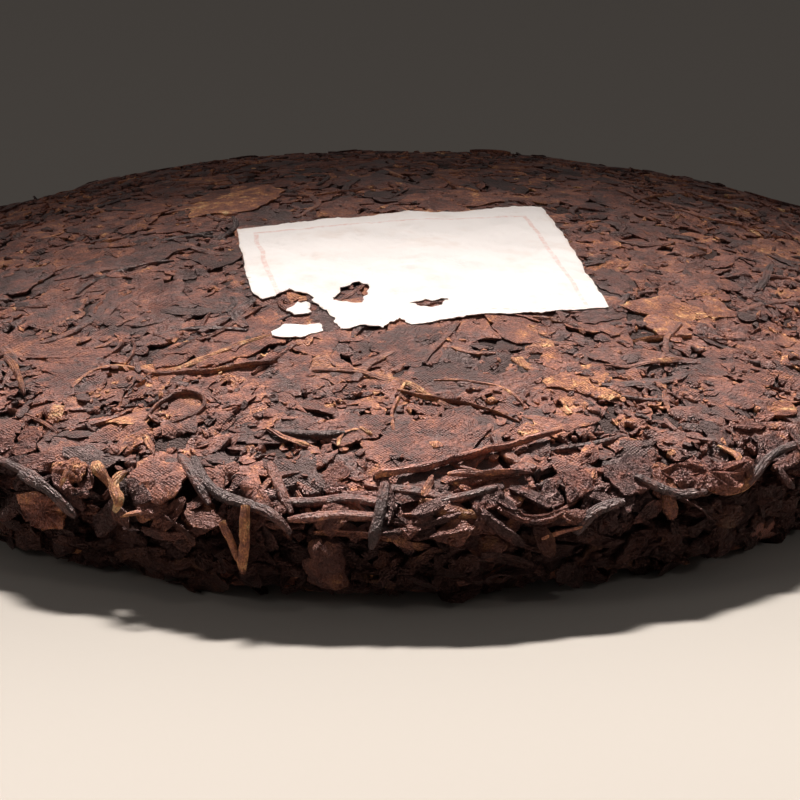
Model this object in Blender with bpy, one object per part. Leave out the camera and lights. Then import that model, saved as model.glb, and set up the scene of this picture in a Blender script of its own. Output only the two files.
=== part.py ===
"""A pu erh tea cake: tea leaves steamed and pressed in a cloth bag under a stone.

The cake is one solid disc with a domed top, a lumpy rim and, underneath, a flat ring
round the hollow that the bag's knot leaves. A thin paper ticket, torn at one corner,
is pressed into the top, with two scraps of it beside the tear. Metres, +Z up, with the
origin under the cake's middle, on the surface that it lies on.
"""

import math

import bmesh
import bpy
from mathutils import Matrix, Vector, geometry, noise

# The cake's turned profile
CAKE_RADIUS = 0.0970
CAKE_HEIGHT = 0.0280
DOME_RADIUS = 0.0840
DOME_FALL = 0.0090
DOME_POWER = 2.2
WIDEST_HEIGHT = 0.0100
FOOT_RADIUS = 0.0880
HOLLOW_RADIUS = 0.0260
HOLLOW_DEPTH = 0.0085

# How far each curve of the rim pulls on its ends, as Bezier handles
SHOULDER_PULL = 0.0080
WIDEST_PULL = 0.0060
FOOT_PULL = (0.0050, 0.0006)

# Rings of vertices along each stretch of the profile, and vertices round each ring
DOME_RINGS = 12
SHOULDER_RINGS = 5
FOOT_RINGS = 4
FLAT_RINGS = 4
HOLLOW_RINGS = 5
SEGMENTS = 120

# Unevenness: the plan is out of round, the rim is lumpy and the top only a little
OUT_OF_ROUND = ((2, 0.0007, 0.4), (3, 0.0006, 1.9), (5, 0.0004, 0.8), (9, 0.0003, 2.6))
LUMP_LENGTH = 0.0100
RIM_LUMP = 0.0014
TOP_DIP = 0.0008
HOLLOW_LUMP = 0.0006

# The paper ticket, in its own frame: X along its long side, Y away from the torn corner
TICKET_CENTRE = (0.0022, -0.0189)
TICKET_TURN = math.radians(11.4)
TICKET_HALF = (0.0275, 0.0255)
PAPER_THICKNESS = 0.0004
PAPER_GAP = 0.0003
PAPER_CELL = 0.0025
CDT_MARGIN = 1e-6

# The ticket's outline in fractions of TICKET_HALF: its near edge's right end, the two far
# corners, the left edge, then the torn corner round to the near edge
TICKET_OUTLINE = (
    (0.99, -0.88),
    (1.04, 1.13),
    (-0.97, 1.01),
    (-1.00, -0.24),
    (-0.96, -0.34),
    (-0.89, -0.34),
    (-0.80, -0.26),
    (-0.71, -0.38),
    (-0.66, -0.68),
    (-0.63, -0.96),
    (-0.46, -0.95),
    (-0.39, -1.00),
    (-0.27, -0.86),
    (-0.22, -0.97),
)
# The hole worn through the ticket near its torn edge, and the two loose scraps
WORN_HOLE = ((-0.18, -0.64), (-0.07, -0.61), (0.06, -0.67), (-0.06, -0.75))
NEAR_SCRAP = (
    (-1.00, -0.86),
    (-0.91, -0.78),
    (-0.73, -0.84),
    (-0.73, -0.96),
    (-0.86, -1.00),
    (-0.98, -0.95),
)
SIDE_SCRAP = (
    (-0.87, -0.57),
    (-0.79, -0.47),
    (-0.73, -0.50),
    (-0.76, -0.66),
    (-0.84, -0.66),
)


def clear_scene():
    """Removes every object, so that the script starts from nothing."""
    for obj in list(bpy.data.objects):
        bpy.data.objects.remove(obj)


def tea_material():
    """Dark, fermented tea with a dull sheen."""
    material = bpy.data.materials.new("pressed_tea")
    material.use_nodes = True
    shader = material.node_tree.nodes["Principled BSDF"]
    shader.inputs["Base Color"].default_value = (0.075, 0.033, 0.022, 1.0)
    shader.inputs["Roughness"].default_value = 0.62
    shader.inputs["Metallic"].default_value = 0.0
    return material


def paper_material():
    """Thin, off-white rice paper."""
    material = bpy.data.materials.new("ticket_paper")
    material.use_nodes = True
    shader = material.node_tree.nodes["Principled BSDF"]
    shader.inputs["Base Color"].default_value = (0.84, 0.79, 0.73, 1.0)
    shader.inputs["Roughness"].default_value = 0.85
    shader.inputs["Metallic"].default_value = 0.0
    return material


def bezier(start, start_pull, end, end_pull, count):
    """Points after the start along a cubic curve, with the pulls as its handles."""
    first = start + start_pull
    last = end - end_pull
    found = []
    for step in range(1, count + 1):
        t = step / count
        s = 1.0 - t
        found.append(
            s**3 * start + 3 * s * s * t * first + 3 * s * t * t * last + t**3 * end
        )
    return found


def dome_height(radius):
    """Height of the smooth top at a distance from the middle."""
    return CAKE_HEIGHT - DOME_FALL * (radius / DOME_RADIUS) ** DOME_POWER


def hollow_height(radius):
    """Height of the smooth hollow under the cake at a distance from its middle."""
    return HOLLOW_DEPTH * 0.5 * (1.0 + math.cos(math.pi * radius / HOLLOW_RADIUS))


def profile():
    """(radius and height, lump height, lump centre) of each ring, top middle to hollow.

    The lump height is how far the surface moves along its normal either side of its
    place, and the centre shifts that range: -1 lets the surface only sink.
    """
    rings = []
    for step in range(1, DOME_RINGS + 1):
        radius = DOME_RADIUS * step / DOME_RINGS
        rings.append((Vector((radius, dome_height(radius))), TOP_DIP / 2, -1.0))

    slope = -DOME_POWER * DOME_FALL / DOME_RADIUS
    shoulder_start = rings[-1][0]
    widest = Vector((CAKE_RADIUS, WIDEST_HEIGHT))
    foot = Vector((FOOT_RADIUS, 0.0))
    shoulder = bezier(
        shoulder_start,
        Vector((SHOULDER_PULL, SHOULDER_PULL * slope)),
        widest,
        Vector((0.0, -WIDEST_PULL)),
        SHOULDER_RINGS,
    )
    for step, point in enumerate(shoulder, 1):
        share = step / SHOULDER_RINGS
        rings.append((point, TOP_DIP / 2 + share * (RIM_LUMP - TOP_DIP / 2), share - 1.0))

    lower = bezier(
        widest,
        Vector((0.0, -WIDEST_PULL)),
        foot,
        Vector((-FOOT_PULL[0], -FOOT_PULL[1])),
        FOOT_RINGS,
    )
    for step, point in enumerate(lower, 1):
        rings.append((point, RIM_LUMP * (1.0 - step / FOOT_RINGS), 0.0))

    for step in range(1, FLAT_RINGS + 1):
        radius = FOOT_RADIUS + (HOLLOW_RADIUS - FOOT_RADIUS) * step / FLAT_RINGS
        rings.append((Vector((radius, 0.0)), 0.0, 0.0))

    for step in range(1, HOLLOW_RINGS):
        radius = HOLLOW_RADIUS * (1.0 - step / HOLLOW_RINGS)
        rings.append((Vector((radius, hollow_height(radius))), HOLLOW_LUMP / 2, 0.0))
    return rings


def normals_of(points):
    """Outward unit normals of a profile that runs clockwise from the top middle."""
    found = []
    for index in range(len(points)):
        before = points[max(index - 1, 0)]
        after = points[min(index + 1, len(points) - 1)]
        along = (after - before).normalized()
        found.append(Vector((-along.y, along.x)))
    return found


def lump(point):
    """A value near -1 to 1 that rises and falls over about LUMP_LENGTH."""
    coarse = noise.noise(point / LUMP_LENGTH)
    fine = noise.noise(point * 1.7 / LUMP_LENGTH + Vector((7.3, 2.9, 5.1)))
    return max(-1.0, min(1.0, 1.5 * coarse + 0.5 * fine))


def out_of_round(angle):
    """How much further than a circle the plan reaches at an angle."""
    return sum(reach * math.sin(waves * angle + at) for waves, reach, at in OUT_OF_ROUND)


def make_cake(material):
    """The cake's solid: rings of vertices joined into one closed skin."""
    rings = profile()
    points = [ring[0] for ring in rings]
    normals = normals_of(points)
    shape = bmesh.new()
    top = shape.verts.new((0.0, 0.0, CAKE_HEIGHT))
    loops = []
    for (point, height, centre), normal in zip(rings, normals):
        loop = []
        for segment in range(SEGMENTS):
            angle = math.tau * segment / SEGMENTS
            outward = Vector((math.cos(angle), math.sin(angle), 0.0))
            radius = point.x + out_of_round(angle) * (point.x / CAKE_RADIUS) ** 2
            place = outward * radius + Vector((0.0, 0.0, point.y))
            move = height * (lump(place) + centre)
            place += outward * normal.x * move
            place.z = max(0.0, place.z + normal.y * move)
            loop.append(shape.verts.new(place))
        loops.append(loop)
    bottom = shape.verts.new((0.0, 0.0, hollow_height(0.0)))

    for segment in range(SEGMENTS):
        after = (segment + 1) % SEGMENTS
        shape.faces.new((top, loops[0][segment], loops[0][after]))
        for upper, lower in zip(loops, loops[1:]):
            shape.faces.new((upper[segment], lower[segment], lower[after], upper[after]))
        shape.faces.new((bottom, loops[-1][after], loops[-1][segment]))

    middle_x = (max(v.co.x for v in shape.verts) + min(v.co.x for v in shape.verts)) / 2
    middle_y = (max(v.co.y for v in shape.verts) + min(v.co.y for v in shape.verts)) / 2
    bmesh.ops.translate(shape, verts=shape.verts, vec=(-middle_x, -middle_y, 0.0))
    mesh = bpy.data.meshes.new("tea_cake")
    shape.to_mesh(mesh)
    shape.free()
    mesh.shade_smooth()
    mesh.materials.append(material)
    cake = bpy.data.objects.new("tea_cake", mesh)
    bpy.context.collection.objects.link(cake)
    return cake


def inside(point, outline):
    """Whether a point lies within a closed outline."""
    within = False
    for (ax, ay), (bx, by) in zip(outline, outline[1:] + outline[:1]):
        if (ay > point[1]) != (by > point[1]):
            crossing = ax + (bx - ax) * (point[1] - ay) / (by - ay)
            within ^= point[0] < crossing
    return within


def in_steps(outline):
    """The outline with points added, so that none of its sides is over PAPER_CELL."""
    found = []
    for start, end in zip(outline, outline[1:] + outline[:1]):
        start, end = Vector(start), Vector(end)
        count = max(1, round((end - start).length / PAPER_CELL))
        found += [start.lerp(end, step / count) for step in range(count)]
    return found


def sheet_triangles(outline, hole):
    """(points, triangles) that fill an outline in the ticket's frame, round a hole."""
    borders = [in_steps(outline)] + ([in_steps(hole)] if hole else [])
    points = [point for border in borders for point in border]
    edges = []
    first = 0
    for border in borders:
        count = len(border)
        edges += [(first + step, first + (step + 1) % count) for step in range(count)]
        first += count

    low = [min(point[k] for point in outline) for k in range(2)]
    high = [max(point[k] for point in outline) for k in range(2)]
    counts = [math.ceil((high[k] - low[k]) / PAPER_CELL) for k in range(2)]
    inner = []
    for column in range(1, counts[0]):
        for row in range(1, counts[1]):
            spot = Vector((low[0] + column * PAPER_CELL, low[1] + row * PAPER_CELL))
            clear = min((spot - point).length for point in points) > PAPER_CELL / 2
            if clear and inside(spot, outline) and not (hole and inside(spot, hole)):
                inner.append(spot)
    boundary = list(range(len(borders[0])))
    made = geometry.delaunay_2d_cdt(points + inner, edges, [boundary], 1, CDT_MARGIN)
    triangles = []
    for triangle in made[2]:
        middle = sum((made[0][index] for index in triangle), Vector((0.0, 0.0))) / 3
        if not (hole and inside(middle, hole)):
            triangles.append(triangle)
    return made[0], triangles


def make_paper(name, fractions, hole_fractions, material):
    """A closed sheet of paper on an outline in the ticket's frame, bent over the dome."""
    place = Matrix.Translation((*TICKET_CENTRE, 0.0)) @ Matrix.Rotation(TICKET_TURN, 4, "Z")
    outline, hole = (
        [(x * TICKET_HALF[0], y * TICKET_HALF[1]) for x, y in part]
        for part in (fractions, hole_fractions)
    )
    points, triangles = sheet_triangles(outline, hole)
    shape = bmesh.new()
    verts = []
    for point in points:
        spot = place @ Vector((point.x, point.y, 0.0))
        spot.z = dome_height(spot.xy.length) + PAPER_GAP
        verts.append(shape.verts.new(spot))
    under = [shape.faces.new([verts[index] for index in triangle]) for triangle in triangles]
    raised = bmesh.ops.extrude_face_region(shape, geom=under, use_keep_orig=True)
    for vert in (v for v in raised["geom"] if isinstance(v, bmesh.types.BMVert)):
        vert.co.z += PAPER_THICKNESS
    bmesh.ops.recalc_face_normals(shape, faces=shape.faces)
    mesh = bpy.data.meshes.new(name)
    shape.to_mesh(mesh)
    shape.free()
    mesh.materials.append(material)
    paper = bpy.data.objects.new(name, mesh)
    bpy.context.collection.objects.link(paper)
    return paper


def main():
    """Builds the cake and the paper pressed into it."""
    clear_scene()
    tea = tea_material()
    paper = paper_material()
    make_cake(tea)
    make_paper("paper_ticket", TICKET_OUTLINE, WORN_HOLE, paper)
    make_paper("paper_scrap_near", NEAR_SCRAP, (), paper)
    make_paper("paper_scrap_side", SIDE_SCRAP, (), paper)


main()
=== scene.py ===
"""The looks of a pressed pu erh tea cake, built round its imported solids.

A core of crumbled tea is covered in real leaves, strands, stems and buds. Each is laid on
what lies below it and pressed towards the cake's own face, as the stone and the cloth bag
did. A torn paper ticket is pressed into the top.

Shapes are worked out in millimetres and turned into metres as each piece is made. The
cake's faces are laid out flat round their middles: a flat place's distance from the middle
is the way to it along the surface, and its direction is the azimuth.
"""

import logging
import math
from dataclasses import dataclass, field, replace
from enum import Enum
from functools import lru_cache
from typing import Callable, Iterable, Sequence

import bpy
import numpy as np
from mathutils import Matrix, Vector, geometry
from mathutils.bvhtree import BVHTree


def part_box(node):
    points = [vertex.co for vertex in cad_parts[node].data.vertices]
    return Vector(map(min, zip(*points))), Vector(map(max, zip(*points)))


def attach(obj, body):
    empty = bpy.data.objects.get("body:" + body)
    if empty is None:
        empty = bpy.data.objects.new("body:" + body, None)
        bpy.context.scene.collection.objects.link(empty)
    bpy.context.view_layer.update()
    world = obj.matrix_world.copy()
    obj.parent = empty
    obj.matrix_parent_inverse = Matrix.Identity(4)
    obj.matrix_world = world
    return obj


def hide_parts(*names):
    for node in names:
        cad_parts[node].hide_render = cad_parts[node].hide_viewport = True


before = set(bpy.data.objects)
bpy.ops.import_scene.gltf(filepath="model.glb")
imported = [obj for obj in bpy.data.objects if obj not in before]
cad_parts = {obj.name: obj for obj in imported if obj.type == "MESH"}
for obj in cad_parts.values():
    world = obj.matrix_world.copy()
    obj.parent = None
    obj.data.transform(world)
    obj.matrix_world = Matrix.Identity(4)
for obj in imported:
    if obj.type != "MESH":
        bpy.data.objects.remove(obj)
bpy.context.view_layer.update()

MM = 0.001
TAU = 2.0 * math.pi
BODY = "root"

log = logging.getLogger("tea_cake")

Array = np.ndarray


class Outline(Enum):
    """The kinds of edge that a flat piece of leaf has."""

    LEAF = "leaf"
    TORN = "torn"
    ROUND = "round"


class Layer(Enum):
    """The piece that a leaf shape goes into, by where it lies and what it is."""

    TOP_BED = "top_leaves_bed"
    TOP_MAIN = "top_leaves_main"
    TOP_COVER = "top_leaves_broad"
    TOP_SMALL = "top_leaves_small"
    TOP_STRANDS = "top_strands"
    TOP_CRUMBS = "top_crumbs"
    TOP_SHARDS = "top_shards"
    RIM_BED = "rim_leaves_bed"
    RIM_LEAVES = "rim_leaves_outer"
    RIM_CURLED = "rim_leaves_curled"
    RIM_ROLLS = "rim_rolled_leaves"
    RIM_STRANDS = "rim_strands"
    STEMS = "stems"
    BUDS = "golden_buds"
    UNDER_LEAVES = "underside_leaves"
    UNDER_STRANDS = "underside_strands"


# ---------------------------------------------------------------------------
# Random but repeatable unevenness
# ---------------------------------------------------------------------------


class Ripple:
    """Smooth random values over a plane, the same at every run."""

    def __init__(self, seed: int, cells: int = 128) -> None:
        """Fills the lattice that the values are read from.

        Args:
            seed: Which of the possible surfaces this is.
            cells: Size of the lattice before it repeats.
        """
        self.cells = cells
        self.grid = np.random.default_rng(seed).uniform(-1.0, 1.0, (cells, cells))

    def at(self, x: Array, y: Array) -> Array:
        """Values from -1 to 1 that change over about one unit.

        Args:
            x: First coordinates.
            y: Second coordinates.

        Returns:
            One value for each place.
        """
        left = np.floor(x).astype(int)
        low = np.floor(y).astype(int)
        across = x - left
        up = y - low
        across = across * across * (3.0 - 2.0 * across)
        up = up * up * (3.0 - 2.0 * up)
        left %= self.cells
        low %= self.cells
        right = (left + 1) % self.cells
        high = (low + 1) % self.cells
        near = self.grid[left, low] * (1.0 - across) + self.grid[right, low] * across
        far = self.grid[left, high] * (1.0 - across) + self.grid[right, high] * across
        return near * (1.0 - up) + far * up

    def rough(self, x: Array, y: Array, octaves: int = 3) -> Array:
        """Values near -1 to 1 with finer unevenness on the coarse.

        Args:
            x: First coordinates.
            y: Second coordinates.
            octaves: How many scales are added, each half as large.

        Returns:
            One value for each place.
        """
        total = np.zeros(np.shape(x))
        for octave in range(octaves):
            scale = 2.03**octave
            total += self.at(x * scale + 17.3 * octave, y * scale + 5.1 * octave) / scale
        return total

    def creased(self, x: Array, y: Array) -> Array:
        """Values from 0 to 1 that rise to sharp ridges, as crumpled leaf does."""
        coarse = 1.0 - np.abs(self.at(x, y))
        fine = 1.0 - np.abs(self.at(x * 2.3 + 9.7, y * 2.3 + 3.3))
        return 0.7 * coarse**2 + 0.3 * fine**2


# ---------------------------------------------------------------------------
# The cake's own surface
# ---------------------------------------------------------------------------


@dataclass
class CakeFace:
    """One face of the cake laid out flat round its middle.

    Attributes:
        places: Surface points by azimuth and by steps along the surface, in mm.
        normals: Outward unit normals at those points.
        step: Distance between two steps along the surface, in mm.
        under: Whether this is the face that the cake lies on.
    """

    places: Array
    normals: Array
    step: float
    under: bool
    floor: float = 0.06

    def __post_init__(self) -> None:
        """Works out the mean profile, which flat places are read from."""
        self.turns, self.steps = self.places.shape[:2]
        self.reach = (self.steps - 1) * self.step
        self.way = np.arange(self.steps) * self.step
        self.radii = np.linalg.norm(self.places[:, :, :2], axis=2).mean(axis=0)
        self.heights = self.places[:, :, 2].mean(axis=0)

    def place(self, flat: Array, height: Array) -> Array:
        """Points above flat places.

        Args:
            flat: Flat places, as rows of two, in mm.
            height: Distance above the cake's face at each, in mm.

        Returns:
            Points in the cake's frame, in mm, none of them below the floor.
        """
        along = np.clip(np.hypot(flat[:, 0], flat[:, 1]) / self.step, 0.0, self.steps - 1.001)
        turn = (np.arctan2(flat[:, 1], flat[:, 0]) / TAU % 1.0) * self.turns
        near = along.astype(int)
        first = turn.astype(int) % self.turns
        second = (first + 1) % self.turns
        part = (along - near)[:, None]
        swing = (turn - np.floor(turn))[:, None]

        def mixed(table: Array) -> Array:
            """The table's values between its four nearest entries."""
            start = table[first, near] * (1.0 - part) + table[first, near + 1] * part
            end = table[second, near] * (1.0 - part) + table[second, near + 1] * part
            return start * (1.0 - swing) + end * swing

        normal = mixed(self.normals)
        normal /= np.linalg.norm(normal, axis=1, keepdims=True)
        points = mixed(self.places) + normal * np.asarray(height)[:, None]
        points[:, 2] = np.maximum(points[:, 2], self.floor)
        return points

    def stretch(self, along: float) -> float:
        """How much wider the flat layout is than the cake, at a distance from the middle."""
        radius = float(np.interp(along, self.way, self.radii))
        return max(along, 1.0) / max(radius, 1.0)

    def spread(self, centre: Array, turn: float, local: Array) -> Array:
        """Flat places of points given round one of them, true to size.

        Args:
            centre: The flat place that the points are given round.
            turn: Angle of the points' first axis from the outward direction.
            local: The points, as rows of two, in mm.

        Returns:
            Flat places, as rows of two.
        """
        along = max(float(np.hypot(*centre)), 0.5)
        outward = np.asarray(centre) / along if along > 0.5 else np.array([1.0, 0.0])
        sideways = np.array([-outward[1], outward[0]])
        out = local[:, 0] * math.cos(turn) - local[:, 1] * math.sin(turn)
        side = local[:, 0] * math.sin(turn) + local[:, 1] * math.cos(turn)
        side = side * self.stretch(along)
        return centre + out[:, None] * outward + side[:, None] * sideways

    def under_point(self, point: Sequence[float]) -> Array:
        """The flat place nearest to a point in mm, or above it if it has no height."""
        radius = math.hypot(point[0], point[1])
        if len(point) == 2:
            widest = int(np.argmax(self.radii)) + 1
            along = float(np.interp(radius, self.radii[:widest], self.way[:widest]))
        else:
            away = (self.radii - radius) ** 2 + (self.heights - point[2]) ** 2
            along = float(self.way[int(np.argmin(away))])
        return along * np.array([point[0], point[1]]) / max(radius, 1e-6)

    def under_points(self, points: Iterable[Sequence[float]]) -> Array:
        """The flat places nearest to some points, as rows of two."""
        return np.array([self.under_point(point) for point in points])


@dataclass
class CakeSurface:
    """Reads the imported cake's surface along meridians.

    Attributes:
        node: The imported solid.
        turns: How many meridians are read.
        step: Distance between the points kept along each, in mm.
        inset: How far in from the widest rim the rays round the rim start, in mm.
        rim_angles: How many rays go round each meridian's rim.
        upper_end: Direction of the last ray of the upper face, in degrees above level.
        under_end: Direction of the last ray of the underside, in degrees above level.
        softening: How many meridians each value is averaged over, either side.
    """

    node: bpy.types.Object
    turns: int = 360
    step: float = 0.5
    inset: float = 17.0
    rim_angles: int = 61
    upper_end: float = -69.0
    under_end: float = -24.0
    softening: int = 3

    def faces(self) -> tuple[CakeFace, CakeFace]:
        """The upper face and the underside.

        Returns:
            The two faces laid out flat.
        """
        mesh = self.node.data
        tree = BVHTree.FromPolygons(
            [vertex.co / MM for vertex in mesh.vertices],
            [tuple(polygon.vertices) for polygon in mesh.polygons],
        )
        low, high = (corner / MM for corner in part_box(self.node.name))
        spine = min(high.x, high.y) - self.inset
        middle = 0.43 * high.z
        radii = np.arange(0.0, spine, 1.5)
        angles = np.radians(np.linspace(90.0, -90.0, self.rim_angles))
        upper, under = [], []
        for turn in range(self.turns):
            azimuth = TAU * turn / self.turns
            outward = Vector((math.cos(azimuth), math.sin(azimuth), 0.0))
            down = [self.hit(tree, outward * r, high.z + 5.0, -1.0) for r in radii]
            raised = [self.hit(tree, outward * r, low.z - 5.0, 1.0) for r in radii]
            start = outward * spine + Vector((0.0, 0.0, middle))
            rim = []
            for angle in angles:
                way = outward * math.cos(angle) + Vector((0.0, 0.0, math.sin(angle)))
                rim.append(np.array(tree.ray_cast(start, way)[0]))
            kept = angles >= math.radians(self.upper_end)
            upper.append(down + [p for p, keep in zip(rim, kept) if keep])
            kept = angles <= math.radians(self.under_end)
            under.append(raised + [p for p, keep in zip(rim, kept) if keep][::-1])
        return self.laid_out(upper, False), self.laid_out(under, True)

    def hit(self, tree: BVHTree, place: Vector, start: float, way: float) -> Array:
        """Where a level-headed ray meets the cake.

        Args:
            tree: The cake's solid.
            place: The ray's place in plan.
            start: Height that it starts from.
            way: -1 for down and 1 for up.

        Returns:
            The point that it meets.
        """
        origin = Vector((place.x, place.y, start))
        return np.array(tree.ray_cast(origin, Vector((0.0, 0.0, way)))[0])

    def laid_out(self, lines: list[list[Array]], under: bool) -> CakeFace:
        """Lays out one face from its meridians.

        Args:
            lines: Points of each meridian, from the middle outwards.
            under: Whether the face is the underside.

        Returns:
            The face.
        """
        lengths = []
        for line in lines:
            gaps = np.linalg.norm(np.diff(np.array(line), axis=0), axis=1)
            lengths.append(np.concatenate([[0.0], np.cumsum(gaps)]))
        mean = float(np.mean([length[-1] for length in lengths]))
        way = np.arange(0.0, mean, self.step)
        table = np.empty((self.turns, len(way), 3))
        for turn, (line, length) in enumerate(zip(lines, lengths)):
            scaled = length * mean / length[-1]
            points = np.array(line)
            for axis in range(3):
                table[turn, :, axis] = np.interp(way, scaled, points[:, axis])
        shifts = range(-self.softening, self.softening + 1)
        table = sum(self.turned(table, shift) for shift in shifts) / len(shifts)
        table[:, 0] = table[:, 0].mean(axis=0)
        outward = np.gradient(table, axis=1)
        sideways = np.roll(table, -1, axis=0) - np.roll(table, 1, axis=0)
        normals = np.cross(outward, sideways) * (-1.0 if under else 1.0)
        normals[:, :3] = (0.0, 0.0, -1.0 if under else 1.0)
        normals /= np.linalg.norm(normals, axis=2, keepdims=True)
        return CakeFace(table, normals, self.step, under)

    def turned(self, table: Array, shift: int) -> Array:
        """The meridians moved round by some steps, and turned back onto their places."""
        moved = np.roll(table, shift, axis=0)
        angle = -TAU * shift / self.turns
        turn = np.array(
            [
                [math.cos(angle), -math.sin(angle), 0.0],
                [math.sin(angle), math.cos(angle), 0.0],
                [0.0, 0.0, 1.0],
            ]
        )
        return moved @ turn


@dataclass
class Relief:
    """Height of the pile of leaves over one face, on a grid of small cells.

    Attributes:
        face: The face that the leaves lie on.
        bed: Height of the core at flat places.
        cell: Size of a cell, in mm.
    """

    face: CakeFace
    bed: Callable[[Array, Array], Array]
    cell: float = 0.4

    def __post_init__(self) -> None:
        """Starts the pile at the core's own surface."""
        self.half = int(self.face.reach / self.cell) + 4
        axis = (np.arange(2 * self.half + 1) - self.half) * self.cell
        x, y = np.meshgrid(axis, axis, indexing="ij")
        self.height = self.bed(x, y)
        turns = np.arange(12) * 2.4
        reach = np.sqrt((np.arange(12) + 0.5) / 12.0)
        self.offsets = np.stack([np.cos(turns) * reach, np.sin(turns) * reach], axis=1)

    def cells(self, flat: Array) -> tuple[Array, Array]:
        """The cell that each flat place lies in."""
        index = np.rint(flat / self.cell).astype(int) + self.half
        index = np.clip(index, 0, 2 * self.half)
        return index[..., 0], index[..., 1]

    def support(self, flat: Array, radius: float, stiff: float = 0.3) -> Array:
        """Height that something laid on the pile rests at.

        Args:
            flat: Flat places, as rows of two.
            radius: How far round each place the pile holds it up, in mm.
            stiff: 0 follows the mean height round the place, 1 the highest.

        Returns:
            One height for each place.
        """
        round_it = flat[:, None, :] + self.offsets[None] * radius
        values = self.height[self.cells(round_it)]
        return (1.0 - stiff) * values.mean(axis=1) + stiff * values.max(axis=1)

    def stamp(self, flat: Array, height: Array) -> "Footprint":
        """Raises the pile to the heights given at flat places.

        Args:
            flat: Flat places, as rows of two.
            height: Height at each.

        Returns:
            What the pile keeps of them.
        """
        cells = self.cells(flat)
        np.maximum.at(self.height, cells, height)
        return Footprint(self, cells, height)


@dataclass
class Footprint:
    """Where a leaf lies on the pile, to tell whether later ones hide it.

    Attributes:
        relief: The pile.
        cells: The cells that it covers.
        height: Its height in each.
    """

    relief: Relief
    cells: tuple[Array, Array]
    height: Array

    def shown(self, slack: float = 0.06) -> float:
        """The share of it that nothing lies on."""
        return float((self.height > self.relief.height[self.cells] - slack).mean())


# ---------------------------------------------------------------------------
# Shapes of leaf
# ---------------------------------------------------------------------------


@dataclass
class Shape:
    """One leaf, strand or crumb, ready to join others in a piece.

    Attributes:
        points: Its points, in mm.
        triangles: Its triangles, as rows of three point numbers.
        tone: For each point its tint, shade, edge and gloss, from 0 to 1.
        grain: For each point its place along and across the leaf, in mm, and a number
            that differs from leaf to leaf.
        footprint: Where it lies on the pile.
    """

    points: Array
    triangles: Array
    tone: Array
    grain: Array
    footprint: Footprint | None = None


@dataclass
class Dye:
    """The colour of one leaf, as the material reads it.

    Attributes:
        tint: Place on the scale of leaf colours, from near black to golden.
        shade: Brightness, 0.5 being the scale's own.
        gloss: 0 for the dullest leaves and 1 for the smoothest.
    """

    tint: float
    shade: float = 0.5
    gloss: float = 0.5

    def tone(self, count: int, edge: Array | float, shade: Array | float = 1.0) -> Array:
        """The values that the material reads at each point.

        Args:
            count: How many points there are.
            edge: How near each point is to the leaf's edge, from 0 to 1.
            shade: What the leaf's own shade is multiplied by at each point, which paints shade into
                skirts, folds and creases.

        Returns:
            Rows of four values.
        """
        values = np.empty((count, 4))
        values[:, 0] = self.tint
        values[:, 1] = np.clip(self.shade * shade, 0.0, 1.0)
        values[:, 2] = edge
        values[:, 3] = self.gloss
        return values


@dataclass
class FlakeForm:
    """Sizes of a flat piece of leaf, in mm, and its dye.

    Attributes:
        length: Along its long axis.
        width: Across it.
        dye: Its colour.
        outline: The kind of edge that it has.
        lift: How far its middle stands above what it lies on.
        tilt: How far it leans along and across, as slopes.
        dome: How far its middle rises above its edge.
        curl: How far its edge rises on two sides and sinks on the others.
        crumple: How deep its creases are.
        crease: How far apart they are.
        rib: Height of its midrib, 0 for none.
        skirt: How deep its edge reaches.
        flex: How far round each point the pile below holds it up.
        detail: Length of the sides of its edge.
        ragged: How uneven its edge is, as a share of its size.
        cap: Highest that the press leaves it.
        give: How gradually the press takes hold.
        corners: Corners of its edge round its middle, where it has a shape of its own.
    """

    length: float
    width: float
    dye: Dye
    outline: Outline = Outline.TORN
    lift: float = 0.45
    tilt: tuple[float, float] = (0.0, 0.0)
    dome: float = 0.0
    curl: float = 0.0
    crumple: float = 0.12
    crease: float = 2.5
    rib: float = 0.0
    skirt: float = 0.7
    flex: float = 1.2
    detail: float = 0.9
    ragged: float = 0.07
    cap: float = 0.15
    give: float = 0.35
    corners: Array | None = None


@dataclass
class StrandForm:
    """Sizes of a pressed strand or stem, in mm, and its dye.

    Attributes:
        width: Across its middle.
        thickness: Height of its back above its edges.
        dye: Its colour.
        ridges: How many ridges run along it.
        ridge: Their height.
        tapers: How narrow its two ends are, as shares of its width.
        lift: How far it stands above what it lies on.
        lean: How far it leans sideways, as a slope.
        wave: How far its height wanders.
        skirt: How deep its edges reach.
        stiff: How far along it one bump lifts it.
        detail: Distance between its cross-sections.
        cap: Highest that the press leaves it.
        give: How gradually the press takes hold.
    """

    width: float
    thickness: float
    dye: Dye
    ridges: int = 3
    ridge: float = 0.06
    tapers: tuple[float, float] = (0.4, 0.4)
    lift: float = 0.15
    lean: float = 0.0
    wave: float = 0.1
    skirt: float = 0.8
    stiff: float = 4.0
    detail: float = 1.1
    cap: float = 0.35
    give: float = 0.35


@dataclass
class SheetForm:
    """Sizes of a leaf that curls free of the pile, in mm, and its dye.

    Attributes:
        length: Along its midrib.
        width: Across it.
        dye: Its colour.
        roll: How far its two sides turn up, as a curvature across it.
        bend: Curvature along it.
        twist: Turn from one end to the other, in radians.
        tip: Turn of the whole leaf about its length, in radians.
        pitch: Slope of the whole leaf along its length, in radians.
        crumple: How deep its creases are.
        thickness: Of the leaf itself.
        rise: Height of its middle above the cake's face.
        pointed: 0 for square ends and 1 for pointed ones.
        rows: Points along it and across it.
    """

    length: float
    width: float
    dye: Dye
    roll: float = 0.25
    bend: float = 0.03
    twist: float = 0.3
    tip: float = 0.3
    pitch: float = 0.0
    crumple: float = 0.5
    thickness: float = 0.28
    rise: float = -1.0
    pointed: float = 0.6
    rows: tuple[int, int] = (11, 8)


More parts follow.
